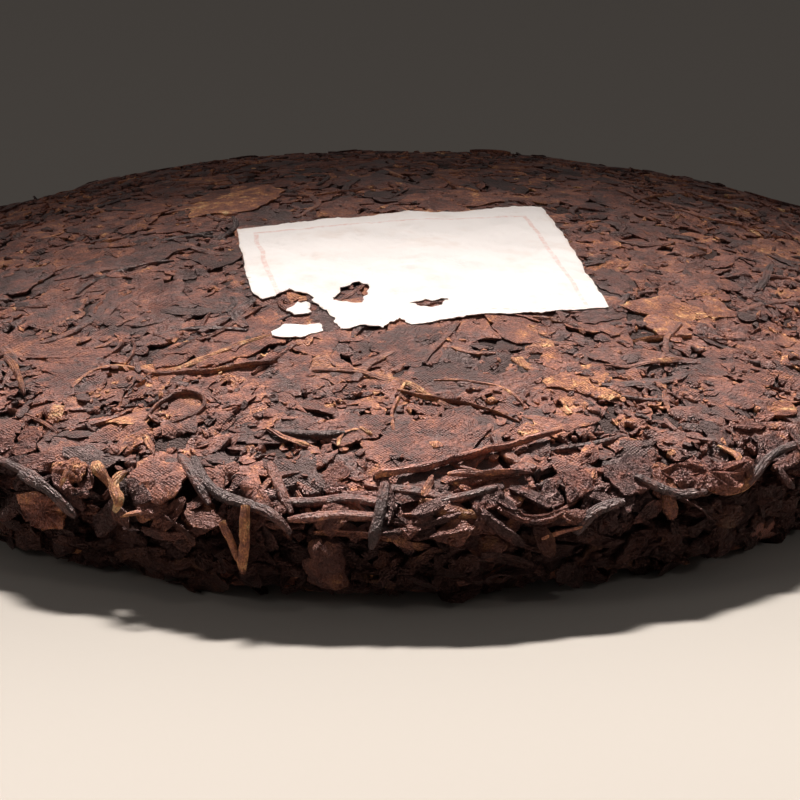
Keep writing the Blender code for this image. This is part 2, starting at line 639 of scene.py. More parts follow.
@dataclass
class RollForm:
    """Sizes of a rolled, twisted leaf, in mm, and its dye.

    Attributes:
        width: Across its middle.
        dye: Its colour.
        flatness: Its thickness as a share of its width.
        groove: How deep the fold along it is, as a share of its width.
        twist: Turns from one end to the other.
        knots: How uneven its width is.
        tapers: How narrow its two ends are, as shares of its width.
        rise: Height of its middle above the cake's face, or above the pile if it rests.
        rests: Whether it lies on the pile.
        arch: How far its middle stands above its ends.
        ribs: Depth of the rings round it, as a share of its width.
        sides: Points round it.
        detail: Distance between its cross-sections.
    """

    width: float
    dye: Dye
    flatness: float = 0.6
    groove: float = 0.35
    twist: float = 0.6
    knots: float = 0.15
    tapers: tuple[float, float] = (0.3, 0.3)
    rise: float = 0.0
    rests: bool = True
    arch: float = 0.0
    ribs: float = 0.0
    sides: int = 8
    detail: float = 1.2


def pressed(height: Array, cap: Array | float, give: float) -> Array:
    """Heights with those near the cap flattened under it.

    Args:
        height: Heights as laid.
        cap: The level that the press leaves nothing above.
        give: How far under the cap it takes hold.

    Returns:
        Heights that keep their order.
    """
    start = cap - give
    over = np.maximum(height - start, 0.0)
    return np.where(height > start, cap - give * np.exp(-over / give), height)


@lru_cache(maxsize=None)
def fan(rings: int, sectors: int) -> Array:
    """Triangles of a closed flake: a middle, rings, a skirt and a middle below.

    Args:
        rings: Rings of points round the middle, the skirt's among them.
        sectors: Points in each ring.

    Returns:
        Rows of three point numbers. Point 0 is the middle and the last is the one below.
    """
    here = np.arange(sectors)
    after = (here + 1) % sectors
    parts = [np.stack([np.zeros(sectors, int), 1 + here, 1 + after], axis=1)]
    for ring in range(rings - 1):
        inner = 1 + ring * sectors
        outer = inner + sectors
        parts.append(np.stack([inner + here, outer + here, outer + after], axis=1))
        parts.append(np.stack([inner + here, outer + after, inner + after], axis=1))
    last = 1 + (rings - 1) * sectors
    below = np.full(sectors, 1 + rings * sectors)
    parts.append(np.stack([last + here, below, last + after], axis=1))
    return np.concatenate(parts)


@lru_cache(maxsize=None)
def tube(stations: int, sides: int) -> Array:
    """Triangles of a closed tube with a point at each end.

    Args:
        stations: Cross-sections along it.
        sides: Points round each.

    Returns:
        Rows of three point numbers. The two end points come last.
    """
    here = np.arange(sides)
    after = (here + 1) % sides
    parts = []
    for station in range(stations - 1):
        near = station * sides
        far = near + sides
        parts.append(np.stack([near + here, near + after, far + after], axis=1))
        parts.append(np.stack([near + here, far + after, far + here], axis=1))
    start = np.full(sides, stations * sides)
    last = (stations - 1) * sides
    parts.append(np.stack([start, after, here], axis=1))
    parts.append(np.stack([start + 1, last + here, last + after], axis=1))
    return np.concatenate(parts)


@lru_cache(maxsize=None)
def leaf_shell(rows: int, columns: int) -> Array:
    """Triangles of a thin closed sheet: its upper side, its lower side and its edge.

    Args:
        rows: Points along it.
        columns: Points across it.

    Returns:
        Rows of three point numbers, the upper side's points first.
    """
    index = np.arange(rows * columns).reshape(rows, columns)
    a, b = index[:-1, :-1].ravel(), index[1:, :-1].ravel()
    c, d = index[1:, 1:].ravel(), index[:-1, 1:].ravel()
    upper = np.concatenate([np.stack([a, b, c], axis=1), np.stack([a, c, d], axis=1)])
    count = rows * columns
    lower = upper[:, ::-1] + count
    border = np.concatenate(
        [index[:, 0], index[-1, 1:], index[-2::-1, -1], index[0, -2:0:-1]]
    )
    after = np.roll(border, -1)
    edge = np.concatenate(
        [
            np.stack([border, border + count, after + count], axis=1),
            np.stack([border, after + count, after], axis=1),
        ]
    )
    return np.concatenate([upper, lower, edge])


@dataclass
class LeafMaker:
    """Makes leaves for one face of the cake and lays them on its pile.

    Attributes:
        face: The face that they lie on.
        relief: The pile that they join.
        seed: Which of the possible piles this is.
    """

    face: CakeFace
    relief: Relief
    seed: int
    rng: np.random.Generator = field(init=False)

    def __post_init__(self) -> None:
        """Starts the maker's own random draws."""
        self.rng = np.random.default_rng(self.seed)
        self.ripple = Ripple(self.seed + 1)

    def closed(self, shape: Shape) -> Shape:
        """The shape with its triangles facing out, whichever face it is on."""
        if self.face.under:
            shape.triangles = shape.triangles[:, ::-1]
        return shape

    def lowest(self, radii: tuple[float, float], size: float, tries: int) -> Array:
        """A flat place where the pile is low.

        Args:
            radii: Nearest and furthest distance from the middle, in mm.
            size: How far round a place its height is averaged.
            tries: How many places it is picked from.

        Returns:
            The flat place.
        """
        near, far = radii
        along = np.sqrt(self.rng.uniform(near**2, far**2, tries))
        angle = self.rng.uniform(0.0, TAU, tries)
        flat = np.stack([along * np.cos(angle), along * np.sin(angle)], axis=1)
        heights = self.relief.support(flat, size, 0.0)
        return flat[int(np.argmin(heights))]

    def edge_of(self, form: FlakeForm, sectors: int) -> Array:
        """How far a flake's edge is from its middle, as shares of its half sizes.

        Args:
            form: The flake's sizes.
            sectors: Directions that the edge is given in.

        Returns:
            One share for each direction.
        """
        angle = np.arange(sectors) * TAU / sectors
        if form.corners is not None:
            share = self.reach_of(form.corners, angle) * 2.0 / form.length
        elif form.outline is Outline.TORN:
            count = int(self.rng.integers(4, 8))
            sides = (np.arange(count) + self.rng.uniform(-0.35, 0.35, count)) * TAU / count
            sides += self.rng.uniform(0.0, TAU)
            far = self.rng.uniform(0.62, 1.0, count)
            facing = np.cos(angle[:, None] - sides[None])
            cut = np.where(facing > 0.15, far / np.maximum(facing, 0.15), 9.0)
            share = np.minimum(cut.min(axis=1), 1.2)
        elif form.outline is Outline.LEAF:
            power = 1.45
            share = (np.abs(np.cos(angle)) ** power + np.abs(np.sin(angle)) ** power) ** (
                -1.0 / power
            )
        else:
            share = np.ones(sectors)
        at = self.rng.uniform(0.0, 99.0)
        turn = np.cos(angle) * 2.2 + at, np.sin(angle) * 2.2 + at
        share = share * (1.0 + 2.0 * form.ragged * self.ripple.at(*turn))
        turn = np.cos(angle) * 7.0 + at, np.sin(angle) * 7.0 + at
        share = share * (1.0 + form.ragged * self.ripple.at(*turn))
        notch = np.maximum(self.ripple.at(turn[0] * 0.7, turn[1] * 0.7) - 0.55, 0.0)
        return share * (1.0 - 1.3 * form.ragged / 0.07 * 0.35 * notch)

    def reach_of(self, corners: Array, angles: Array) -> Array:
        """How far an outline is from its middle, in some directions.

        Args:
            corners: The outline's corners, in order, round its middle.
            angles: The directions.

        Returns:
            One distance for each direction.
        """
        way = np.stack([np.cos(angles), np.sin(angles)], axis=1)
        reach = np.zeros(len(angles))
        for start, end in zip(corners, np.roll(corners, -1, axis=0)):
            side = end - start
            det = way[:, 0] * side[1] - way[:, 1] * side[0]
            det = np.where(np.abs(det) < 1e-9, 1e-9, det)
            along = (start[0] * side[1] - start[1] * side[0]) / det
            share = (start[0] * way[:, 1] - start[1] * way[:, 0]) / det
            met = (along > 0.0) & (share >= -0.001) & (share <= 1.001)
            reach = np.where(met, np.maximum(reach, along), reach)
        return np.maximum(reach, 0.2)

    def patch(self, corners: Array, form: FlakeForm) -> Shape:
        """A piece of leaf with an edge of its own.

        Args:
            corners: Flat places of its corners, in order.
            form: Its other sizes.

        Returns:
            The flake.
        """
        centre = corners.mean(axis=0)
        along = max(float(np.hypot(*centre)), 0.5)
        outward = centre / along
        sideways = np.array([-outward[1], outward[0]])
        away = corners - centre
        side = away @ sideways / self.face.stretch(along)
        local = np.stack([away @ outward, side], axis=1)
        size = 2.0 * float(np.hypot(*local.T).max())
        return self.flake(centre, 0.0, replace(form, corners=local, length=size, width=size))

    def flake(self, centre: Array, turn: float, form: FlakeForm) -> Shape:
        """A flat piece of leaf laid on the pile.

        Args:
            centre: The flat place of its middle.
            turn: Angle of its long axis from the outward direction.
            form: Its sizes.

        Returns:
            The flake, whose heights the pile then holds too.
        """
        half = np.array([form.length, form.width]) / 2.0
        girth = TAU * math.sqrt((half[0] ** 2 + half[1] ** 2) / 2.0)
        sectors = int(np.clip(girth / form.detail, 8, 60))
        edge = self.edge_of(form, sectors)
        if max(half) < 1.1:
            shares = np.array([1.0])
        elif max(half) < 2.4:
            shares = np.array([0.62, 1.0])
        elif max(half) < 4.6:
            shares = np.array([0.45, 0.84, 1.0])
        else:
            shares = np.array([0.3, 0.6, 0.87, 1.0])
        at = self.rng.uniform(0.0, 99.0, 2)
        side = self.rng.uniform(0.0, TAU)

        def height(local: Array, share: Array, angle: Array) -> Array:
            """Height of the flake's upper side at places given round its middle."""
            flat = self.face.spread(centre, turn, local)
            low = self.relief.support(flat, form.flex)
            x, y = local[:, 0], local[:, 1]
            high = low + form.lift + form.tilt[0] * x + form.tilt[1] * y
            high += form.dome * (1.0 - share**2)
            high += form.curl * share**3 * np.cos(2.0 * (angle - side))
            places = x / form.crease + at[0], y / form.crease + at[1]
            high += form.crumple * (2.0 * self.ripple.creased(*places) - 1.0)
            high += 0.35 * form.crumple * self.ripple.at(places[0] * 4.0, places[1] * 4.0)
            high += form.rib * np.exp(-((y / 0.35) ** 2)) * (np.abs(x) < 0.8 * half[0])
            high -= 0.14 * share**14
            return pressed(high, form.cap, form.give)

        angles = np.arange(sectors) * TAU / sectors
        ways = np.stack([np.cos(angles), np.sin(angles)], axis=1) * edge[:, None] * half
        local = np.concatenate([np.zeros((1, 2)), *(ways * share for share in shares)])
        share = np.concatenate([[0.0], np.repeat(shares, sectors)])
        angle = np.concatenate([[0.0], np.tile(angles, len(shares))])
        top = height(local, share, angle)

        rings = max(3, int(max(half) / self.relief.cell))
        dense_share = np.repeat(np.linspace(0.0, 1.0, rings), sectors * 2)
        dense_angle = np.tile(np.arange(sectors * 2) * TAU / (sectors * 2), rings)
        reach = np.interp(dense_angle, angles, edge, period=TAU) * dense_share
        ways = np.stack([np.cos(dense_angle), np.sin(dense_angle)], axis=1)
        dense = ways * reach[:, None] * half
        dense_top = height(dense, dense_share, dense_angle)

        rim = local[-sectors:] * 0.965
        below = top[-sectors:] - form.skirt
        local = np.concatenate([local, rim, np.zeros((1, 2))])
        heights = np.concatenate([top, below, [below.min()]])
        flat = self.face.spread(centre, turn, local)
        print_left = self.relief.stamp(self.face.spread(centre, turn, dense), dense_top)

        near_edge = np.concatenate([share**6, np.ones(sectors + 1)])
        # Painted shade: the skirt and the point below are darkened to 0.3 of the leaf's shade, for the
        # gaps between leaves.
        dark = np.concatenate([np.ones(len(top)), np.full(sectors + 1, 0.3)])
        number = self.rng.uniform(0.0, 50.0)
        grain = np.column_stack([local, np.full(len(local), number)])
        return self.closed(
            Shape(
                self.face.place(flat, heights),
                fan(len(shares) + 1, sectors),
                form.dye.tone(len(local), near_edge, dark),
                grain,
                print_left,
            )
        )

    def path(self, centre: Array, turn: float, length: float, bow: float) -> Array:
        """Flat places along a strand with a natural bow and wander.

        Args:
            centre: The flat place of its middle.
            turn: Its direction there from the outward direction.
            length: Its length, in mm.
            bow: How far its middle stands off the line between its ends, as a share.

        Returns:
            Rows of two, evenly spaced.
        """
        count = max(5, int(length / 1.0))
        u = np.linspace(-0.5, 0.5, count)
        at = self.rng.uniform(0.0, 99.0)
        wander = self.ripple.rough(u * length / 9.0 + at, np.full(count, at), 2)
        v = bow * length * (0.25 - u**2) * 4.0 + 0.06 * length * wander
        return self.face.spread(centre, turn, np.stack([u * length, v], axis=1))

    def along(self, path: Array, spacing: float) -> tuple[Array, Array, Array]:
        """Even stations along a path.

        Args:
            path: Flat places.
            spacing: Distance between two stations.

        Returns:
            The stations, the sideways direction at each, true to size, and the distance
            of each from the start.
        """
        gaps = np.linalg.norm(np.diff(path, axis=0), axis=1)
        way = np.concatenate([[0.0], np.cumsum(gaps)])
        count = max(5, int(way[-1] / spacing) + 1)
        at = np.linspace(0.0, way[-1], count)
        line = np.stack([np.interp(at, way, path[:, k]) for k in range(2)], axis=1)
        for _ in range(2):
            line[1:-1] = (line[:-2] + 2.0 * line[1:-1] + line[2:]) / 4.0
        ahead = np.gradient(line, axis=0)
        reach = np.maximum(np.linalg.norm(line, axis=1), 0.5)
        outward = line / reach[:, None]
        sideways = np.stack([-outward[:, 1], outward[:, 0]], axis=1)
        wide = np.array([self.face.stretch(float(r)) for r in reach])
        out = (ahead * outward).sum(axis=1)
        side = (ahead * sideways).sum(axis=1) / wide
        size = np.maximum(np.hypot(out, side), 1e-9)
        across = outward * (-side / size)[:, None] + sideways * (out / size * wide)[:, None]
        return line, across, at

    def strand(self, path: Array, form: StrandForm) -> Shape:
        """A strand or stem pressed into the pile.

        Args:
            path: Flat places along it.
            form: Its sizes.

        Returns:
            The strand, whose heights the pile then holds too.
        """
        line, across, way = self.along(path, form.detail)
        count = len(line)
        u = way / way[-1]
        width = self.tapered(u, form.width, form.tapers)
        wobble = self.ripple.at(way / 3.0 + self.rng.uniform(0, 99), np.zeros(count))
        width = width * (1.0 + 0.12 * wobble) / 2.0
        rest = self.relief.support(line, form.width * 0.6 + 0.3, 0.5)
        window = max(1, int(form.stiff / form.detail))
        padded = np.pad(rest, window, mode="edge")
        rest = np.convolve(padded, np.ones(2 * window + 1) / (2 * window + 1), "valid")
        at = self.rng.uniform(0.0, 99.0)
        rest = rest + form.lift + form.wave * self.ripple.at(way / 5.0 + at, np.zeros(count))
        v = np.array([-1.0, -0.86, -0.5, -0.17, 0.17, 0.5, 0.86, 1.0])
        back = form.thickness * np.sqrt(np.maximum(1.0 - np.abs(v) ** 3, 0.0))
        back = back + form.ridge * np.cos(v * form.ridges * math.pi)
        heights = rest[:, None] + back[None] * np.minimum(1.0, width * 2.2 / form.width)[:, None]
        heights += form.lean * v[None] * width[:, None]
        heights = pressed(heights, form.cap, form.give)
        places = line[:, None] + across[:, None] * (v[None, :, None] * width[:, None, None])
        self.relief.stamp(places.reshape(-1, 2), heights.ravel())
        fine = np.linspace(-1.0, 1.0, 2 * len(v))
        between = line[:, None] + across[:, None] * (fine[None, :, None] * width[:, None, None])
        level = np.stack([np.interp(fine, v, row) for row in heights])
        print_left = self.relief.stamp(between.reshape(-1, 2), level.ravel())

        below = np.array([0.88, -0.88])
        low = places[:, :1] * 0 + line[:, None] + across[:, None] * (
            below[None, :, None] * width[:, None, None]
        )
        low_heights = heights[:, [-1, 0]] - form.skirt
        flat = np.concatenate([places, low], axis=1)
        levels = np.concatenate([heights, low_heights], axis=1)
        sides = len(v) + 2
        ends = np.stack([line[0], line[-1]])
        end_levels = np.array([levels[0].mean(), levels[-1].mean()])
        flat = np.concatenate([flat.reshape(-1, 2), ends])
        levels = np.concatenate([levels.ravel(), end_levels])
        near_edge = np.tile(np.concatenate([np.abs(v) ** 4, [1.0, 1.0]]), count)
        # Painted shade: the skirts are darkened to 0.3 of the strand's shade and its two end points to
        # 0.7.
        dark = np.tile(np.concatenate([np.ones(len(v)), [0.3, 0.3]]), count)
        offs = np.tile(np.concatenate([v, below]), count) * np.repeat(width, sides)
        grain = np.column_stack([np.repeat(way, sides), offs, np.zeros(len(offs))])
        grain = np.concatenate([grain, [[0.0, 0.0, 0.0], [way[-1], 0.0, 0.0]]])
        grain[:, 2] = self.rng.uniform(0.0, 50.0)
        tone = form.dye.tone(
            len(flat),
            np.concatenate([near_edge, [1.0, 1.0]]),
            np.concatenate([dark, [0.7, 0.7]]),
        )
        triangles = tube(count, sides)[:, ::-1]
        points = self.face.place(flat, levels)
        return self.closed(Shape(points, triangles, tone, grain, print_left))

    def tapered(self, u: Array, width: float, tapers: tuple[float, float]) -> Array:
        """Width along a strand whose ends narrow over its last fifths."""
        start = tapers[0] + (1.0 - tapers[0]) * np.sin(np.clip(u / 0.22, 0, 1) * math.pi / 2)
        end = tapers[1] + (1.0 - tapers[1]) * np.sin(
            np.clip((1.0 - u) / 0.22, 0, 1) * math.pi / 2
        )
        return width * start * end

    def roll(self, path: Array, form: RollForm) -> Shape:
        """A rolled, twisted leaf.

        Args:
            path: Flat places along it.
            form: Its sizes.

        Returns:
            The roll, whose heights the pile then holds too.
        """
        line, across, way = self.along(path, form.detail)
        count = len(line)
        u = way / way[-1]
        at = self.rng.uniform(0.0, 99.0, 2)
        wobble = self.ripple.rough(way / 2.5 + at[0], np.zeros(count), 2)
        half = self.tapered(u, form.width, form.tapers) * (1.0 + form.knots * wobble) / 2.0
        if form.rests:
            level = self.relief.support(line, form.width * 0.7, 0.5)
            window = 2
            level = np.convolve(np.pad(level, window, mode="edge"), np.ones(5) / 5.0, "valid")
            level = level + form.rise + 0.5 * half * form.flatness
        else:
            level = np.full(count, form.rise)
        level = level + form.arch * 4.0 * (0.25 - (u - 0.5) ** 2)
        level = level + 0.3 * self.ripple.at(way / 4.0 + at[1], np.ones(count))
        theta = np.arange(form.sides) * TAU / form.sides
        turn = form.twist * TAU * (u - 0.5) + self.rng.uniform(0.0, TAU)
        angle = theta[None] + np.zeros(count)[:, None]
        bump = 1.0 - form.groove * np.exp(-(((theta - math.pi / 2) / 0.55) ** 2))
        bump = bump + 0.1 * np.cos(5.0 * theta + at[0])
        wrinkle = self.ripple.at(way[:, None] / 1.3 + at[1], theta[None] * 1.3 + at[0])
        radius = half[:, None] * bump[None] * (1.0 + 0.12 * wrinkle)
        radius = radius * (1.0 + form.ribs * np.cos(way * TAU / 1.7))[:, None]
        side = radius * np.cos(angle)
        rise = radius * np.sin(angle) * form.flatness
        turned = side * np.cos(turn)[:, None] - rise * np.sin(turn)[:, None]
        lifted = side * np.sin(turn)[:, None] + rise * np.cos(turn)[:, None]
        flat = line[:, None] + across[:, None] * turned[:, :, None]
        heights = level[:, None] + lifted
        print_left = self.relief.stamp(flat.reshape(-1, 2), heights.ravel())
        points = np.concatenate([flat.reshape(-1, 2), line[:1], line[-1:]])
        levels = np.concatenate([heights.ravel(), level[:1], level[-1:]])
        crest = np.tile(np.clip((bump - 0.6) / 0.5, 0.0, 1.0) ** 3, count)
        # Painted shade in the fold: points in the groove are darker, down to 0.55 of the leaf's shade,
        # and the end points are at 0.8.
        shade = np.tile(0.55 + 0.45 * np.clip(bump, 0.0, 1.0), count)
        grain = np.column_stack(
            [
                np.repeat(way, form.sides),
                np.tile(theta * form.width / 2.0, count),
                np.zeros(count * form.sides),
            ]
        )
        grain = np.concatenate([grain, [[0.0, 0.0, 0.0], [way[-1], 0.0, 0.0]]])
        grain[:, 2] = self.rng.uniform(0.0, 50.0)
        tone = form.dye.tone(
            len(points), np.concatenate([crest, [1, 1]]), np.concatenate([shade, [0.8, 0.8]])
        )
        triangles = tube(count, form.sides)
        points = self.face.place(points, levels)
        return self.closed(Shape(points, triangles, tone, grain, print_left))

    def sheet(self, centre: Array, turn: float, form: SheetForm) -> Shape:
        """A leaf that curls free of the pile.

        Args:
            centre: The flat place of its middle.
            turn: Angle of its length from the outward direction.
            form: Its sizes.

        Returns:
            The leaf, whose upper side the pile then holds too.
        """
        rows, columns = form.rows
        u = np.linspace(-1.0, 1.0, rows)[:, None] + np.zeros(columns)[None]
        v = np.linspace(-1.0, 1.0, columns)[None] + np.zeros(rows)[:, None]
        at = self.rng.uniform(0.0, 99.0, 3)
        ends = (1.0 - np.abs(u) ** 2.2) ** 0.6
        narrow = (1.0 - form.pointed) + form.pointed * np.maximum(ends, 0.06)
        ragged = 1.0 + 0.22 * self.ripple.rough(u * form.length / 5.0 + at[0], np.sign(v) * 3.0)
        across = v * narrow * ragged * form.width / 2.0
        jag = 0.10 * self.ripple.at(v * 3.0 + at[2], np.sign(u) * 5.0)
        length = (u * (1.0 + jag)) * form.length / 2.0

        roll = across * form.roll
        y = np.where(abs(form.roll) > 1e-3, np.sin(roll) / (form.roll + 1e-9), across)
        z = (1.0 - np.cos(roll)) / (form.roll + 1e-9)
        turned = form.twist * u / 2.0 + form.tip
        y, z = (
            y * np.cos(turned) - z * np.sin(turned),
            y * np.sin(turned) + z * np.cos(turned),
        )
        arc = length * form.bend
        x = np.sin(arc) / (form.bend + 1e-9) - z * np.sin(arc)
        z = (np.cos(arc) - 1.0) / (form.bend + 1e-9) + z * np.cos(arc)
        x, z = (
            x * math.cos(form.pitch) - z * math.sin(form.pitch),
            x * math.sin(form.pitch) + z * math.cos(form.pitch),
        )
        lattice = length / 2.6 + at[0], across / 2.6 + at[1]
        crease = 2.0 * self.ripple.creased(*lattice) - 1.0
        cloud = np.stack([x, y, z], axis=2)
        normal = np.cross(np.gradient(cloud, axis=0), np.gradient(cloud, axis=1))
        size = np.maximum(np.linalg.norm(normal, axis=2, keepdims=True), 1e-9)
        normal = normal / size
        cloud = cloud + normal * (form.crumple * crease)[:, :, None]
        rim = np.maximum(np.abs(u), np.abs(v))
        thick = form.thickness * (1.0 - 0.6 * rim**6)
        upper = (cloud + normal * (thick / 2.0)[:, :, None]).reshape(-1, 3)
        lower = (cloud - normal * (thick / 2.0)[:, :, None]).reshape(-1, 3)
        both = np.concatenate([upper, lower])
        flat = self.face.spread(centre, turn, both[:, :2])
        levels = both[:, 2] + form.rise
        print_left = self.relief.stamp(flat[: len(upper)], levels[: len(upper)])
        edge = np.tile((rim**5).ravel(), 2)
        grain = np.column_stack(
            [np.tile(length.ravel(), 2), np.tile(across.ravel(), 2), np.zeros(len(both))]
        )
        grain[:, 2] = self.rng.uniform(0.0, 50.0)
        # Painted shade and light of the creases: their hollows are darker, down to 0.8 of the leaf's
        # shade, their ridges full.
        shade = np.tile((0.8 + 0.2 * (crease + 1.0) / 2.0).ravel(), 2)
        tone = form.dye.tone(len(both), edge, shade)
        triangles = leaf_shell(rows, columns)
        points = self.face.place(flat, levels)
        return self.closed(Shape(points, triangles, tone, grain, print_left))


# ---------------------------------------------------------------------------
# Pieces
# ---------------------------------------------------------------------------


@dataclass
class Piece:
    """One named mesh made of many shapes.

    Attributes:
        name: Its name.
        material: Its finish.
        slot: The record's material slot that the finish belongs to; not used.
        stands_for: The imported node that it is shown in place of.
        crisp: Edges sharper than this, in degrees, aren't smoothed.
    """

    name: str
    material: bpy.types.Material
    slot: str
    stands_for: str
    crisp: float = 55.0

    def build(self, shapes: Sequence[Shape]) -> bpy.types.Object:
        """Joins the shapes into one object that rides on the cake's body.

        Args:
            shapes: The shapes, in mm.

        Returns:
            The object.
        """
        starts = np.cumsum([0] + [len(shape.points) for shape in shapes[:-1]])
        points = np.concatenate([shape.points for shape in shapes]) * MM
        triangles = np.concatenate(
            [shape.triangles + start for shape, start in zip(shapes, starts)]
        )
        mesh = bpy.data.meshes.new(self.name)
        mesh.vertices.add(len(points))
        mesh.vertices.foreach_set("co", points.astype(np.float32).ravel())
        mesh.loops.add(3 * len(triangles))
        mesh.loops.foreach_set("vertex_index", triangles.astype(np.int32).ravel())
        mesh.polygons.add(len(triangles))
        mesh.polygons.foreach_set("loop_start", np.arange(0, 3 * len(triangles), 3, np.int32))
        mesh.update(calc_edges=True)
        tone = mesh.attributes.new("tone", "FLOAT_COLOR", "POINT")
        values = np.concatenate([shape.tone for shape in shapes]).astype(np.float32)
        tone.data.foreach_set("color", values.ravel())
        grain = mesh.attributes.new("grain", "FLOAT_VECTOR", "POINT")
        values = np.concatenate([shape.grain for shape in shapes]).astype(np.float32)
        grain.data.foreach_set("vector", values.ravel())
        mesh.shade_smooth()
        mesh.set_sharp_from_angle(angle=math.radians(self.crisp))
        mesh.materials.append(self.material)
        made = bpy.data.objects.new(self.name, mesh)
        bpy.context.scene.collection.objects.link(made)
        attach(made, BODY)
        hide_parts(self.stands_for)
        log.info("%s: %d shapes, %d triangles", self.name, len(shapes), len(triangles))
        return made


# ---------------------------------------------------------------------------
# Finishes
# ---------------------------------------------------------------------------


class Nodes:
    """Adds nodes to a material or a group in few words."""

    def __init__(self, tree: bpy.types.NodeTree) -> None:
        """Keeps the tree that nodes are added to."""
        self.tree = tree

    def add(self, kind: str, inputs: dict | None = None, **settings: object) -> bpy.types.Node:
        """Adds a node.

        Args:
            kind: Its type, without the leading ShaderNode.
            inputs: What each of its inputs is: a socket to link or a plain value.
            settings: Its properties.

        Returns:
            The node.
        """
        kinds = ("NodeGroupInput", "NodeGroupOutput")
        node = self.tree.nodes.new(kind if kind in kinds else "ShaderNode" + kind)
        for name, value in settings.items():
            setattr(node, name, value)
        for name, value in (inputs or {}).items():
            if isinstance(value, bpy.types.NodeSocket):
                self.tree.links.new(value, node.inputs[name])
            else:
                node.inputs[name].default_value = value
        return node

    def math(self, operation: str, *values: object) -> bpy.types.NodeSocket:
        """The outcome of a Math node on sockets or numbers."""
        inputs = dict(enumerate(values))
        return self.add("Math", inputs, operation=operation).outputs[0]

    def mix(
        self, share: object, first: object, second: object, blend: str = "MIX"
    ) -> bpy.types.NodeSocket:
        """The outcome of mixing two colours.

        Args:
            share: How much of the second is used, a socket or a number.
            first: The first colour.
            second: The second colour.
            blend: The way that they are mixed.

        Returns:
            The mixed colour.
        """
        node = self.add("Mix", data_type="RGBA", blend_type=blend)
        for socket, value in zip((node.inputs[0], node.inputs[6], node.inputs[7]),
                                 (share, first, second)):
            if isinstance(value, bpy.types.NodeSocket):
                self.tree.links.new(value, socket)
            else:
                socket.default_value = value
        return node.outputs[2]

    def noise(self, place: bpy.types.NodeSocket, scale: float, detail: float = 2.0,
              roughness: float = 0.55) -> bpy.types.NodeSocket:
        """Noise from 0 to 1 over places in metres or millimetres, at a scale."""
        inputs = {"Vector": place, "Scale": scale, "Detail": detail, "Roughness": roughness}
        return self.add("TexNoise", inputs).outputs[0]

    def between(self, value: object, low: float, high: float, to_low: float = 0.0,
                to_high: float = 1.0) -> bpy.types.NodeSocket:
        """A value moved smoothly from one range to another, and kept within it."""
        node = self.add(
            "MapRange",
            {"Value": value, "From Min": low, "From Max": high, "To Min": to_low,
             "To Max": to_high},
            interpolation_type="SMOOTHSTEP",
        )
        return node.outputs[0]

    def ramp(
        self, value: bpy.types.NodeSocket, stops: Sequence[tuple[float, tuple]]
    ) -> bpy.types.NodeSocket:
        """A colour read off a scale of stops.

        Args:
            value: Where on the scale it is read.
            stops: Place and linear colour of each stop.

        Returns:
            The colour.
        """
        node = self.add("ValToRGB", {"Fac": value})
        elements = node.color_ramp.elements
        for _ in stops[2:]:
            elements.new(0.5)
        for element, (place, colour) in zip(elements, stops):
            element.position = place
        for element, (place, colour) in zip(elements, stops):
            element.color = (*colour, 1.0)
        return node.outputs[0]


# Linear colours of leaf, from the darkest to golden buds
LEAF_COLOURS = (
    (0.00, (0.0180, 0.0125, 0.0130)),
    (0.20, (0.0430, 0.0255, 0.0245)),
    (0.36, (0.0920, 0.0370, 0.0300)),
    (0.52, (0.1580, 0.0590, 0.0420)),
    (0.66, (0.2400, 0.0900, 0.0570)),
    (0.80, (0.3700, 0.1450, 0.0660)),
    (0.91, (0.5500, 0.2600, 0.1100)),
    (1.00, (0.7000, 0.4500, 0.2300)),
)


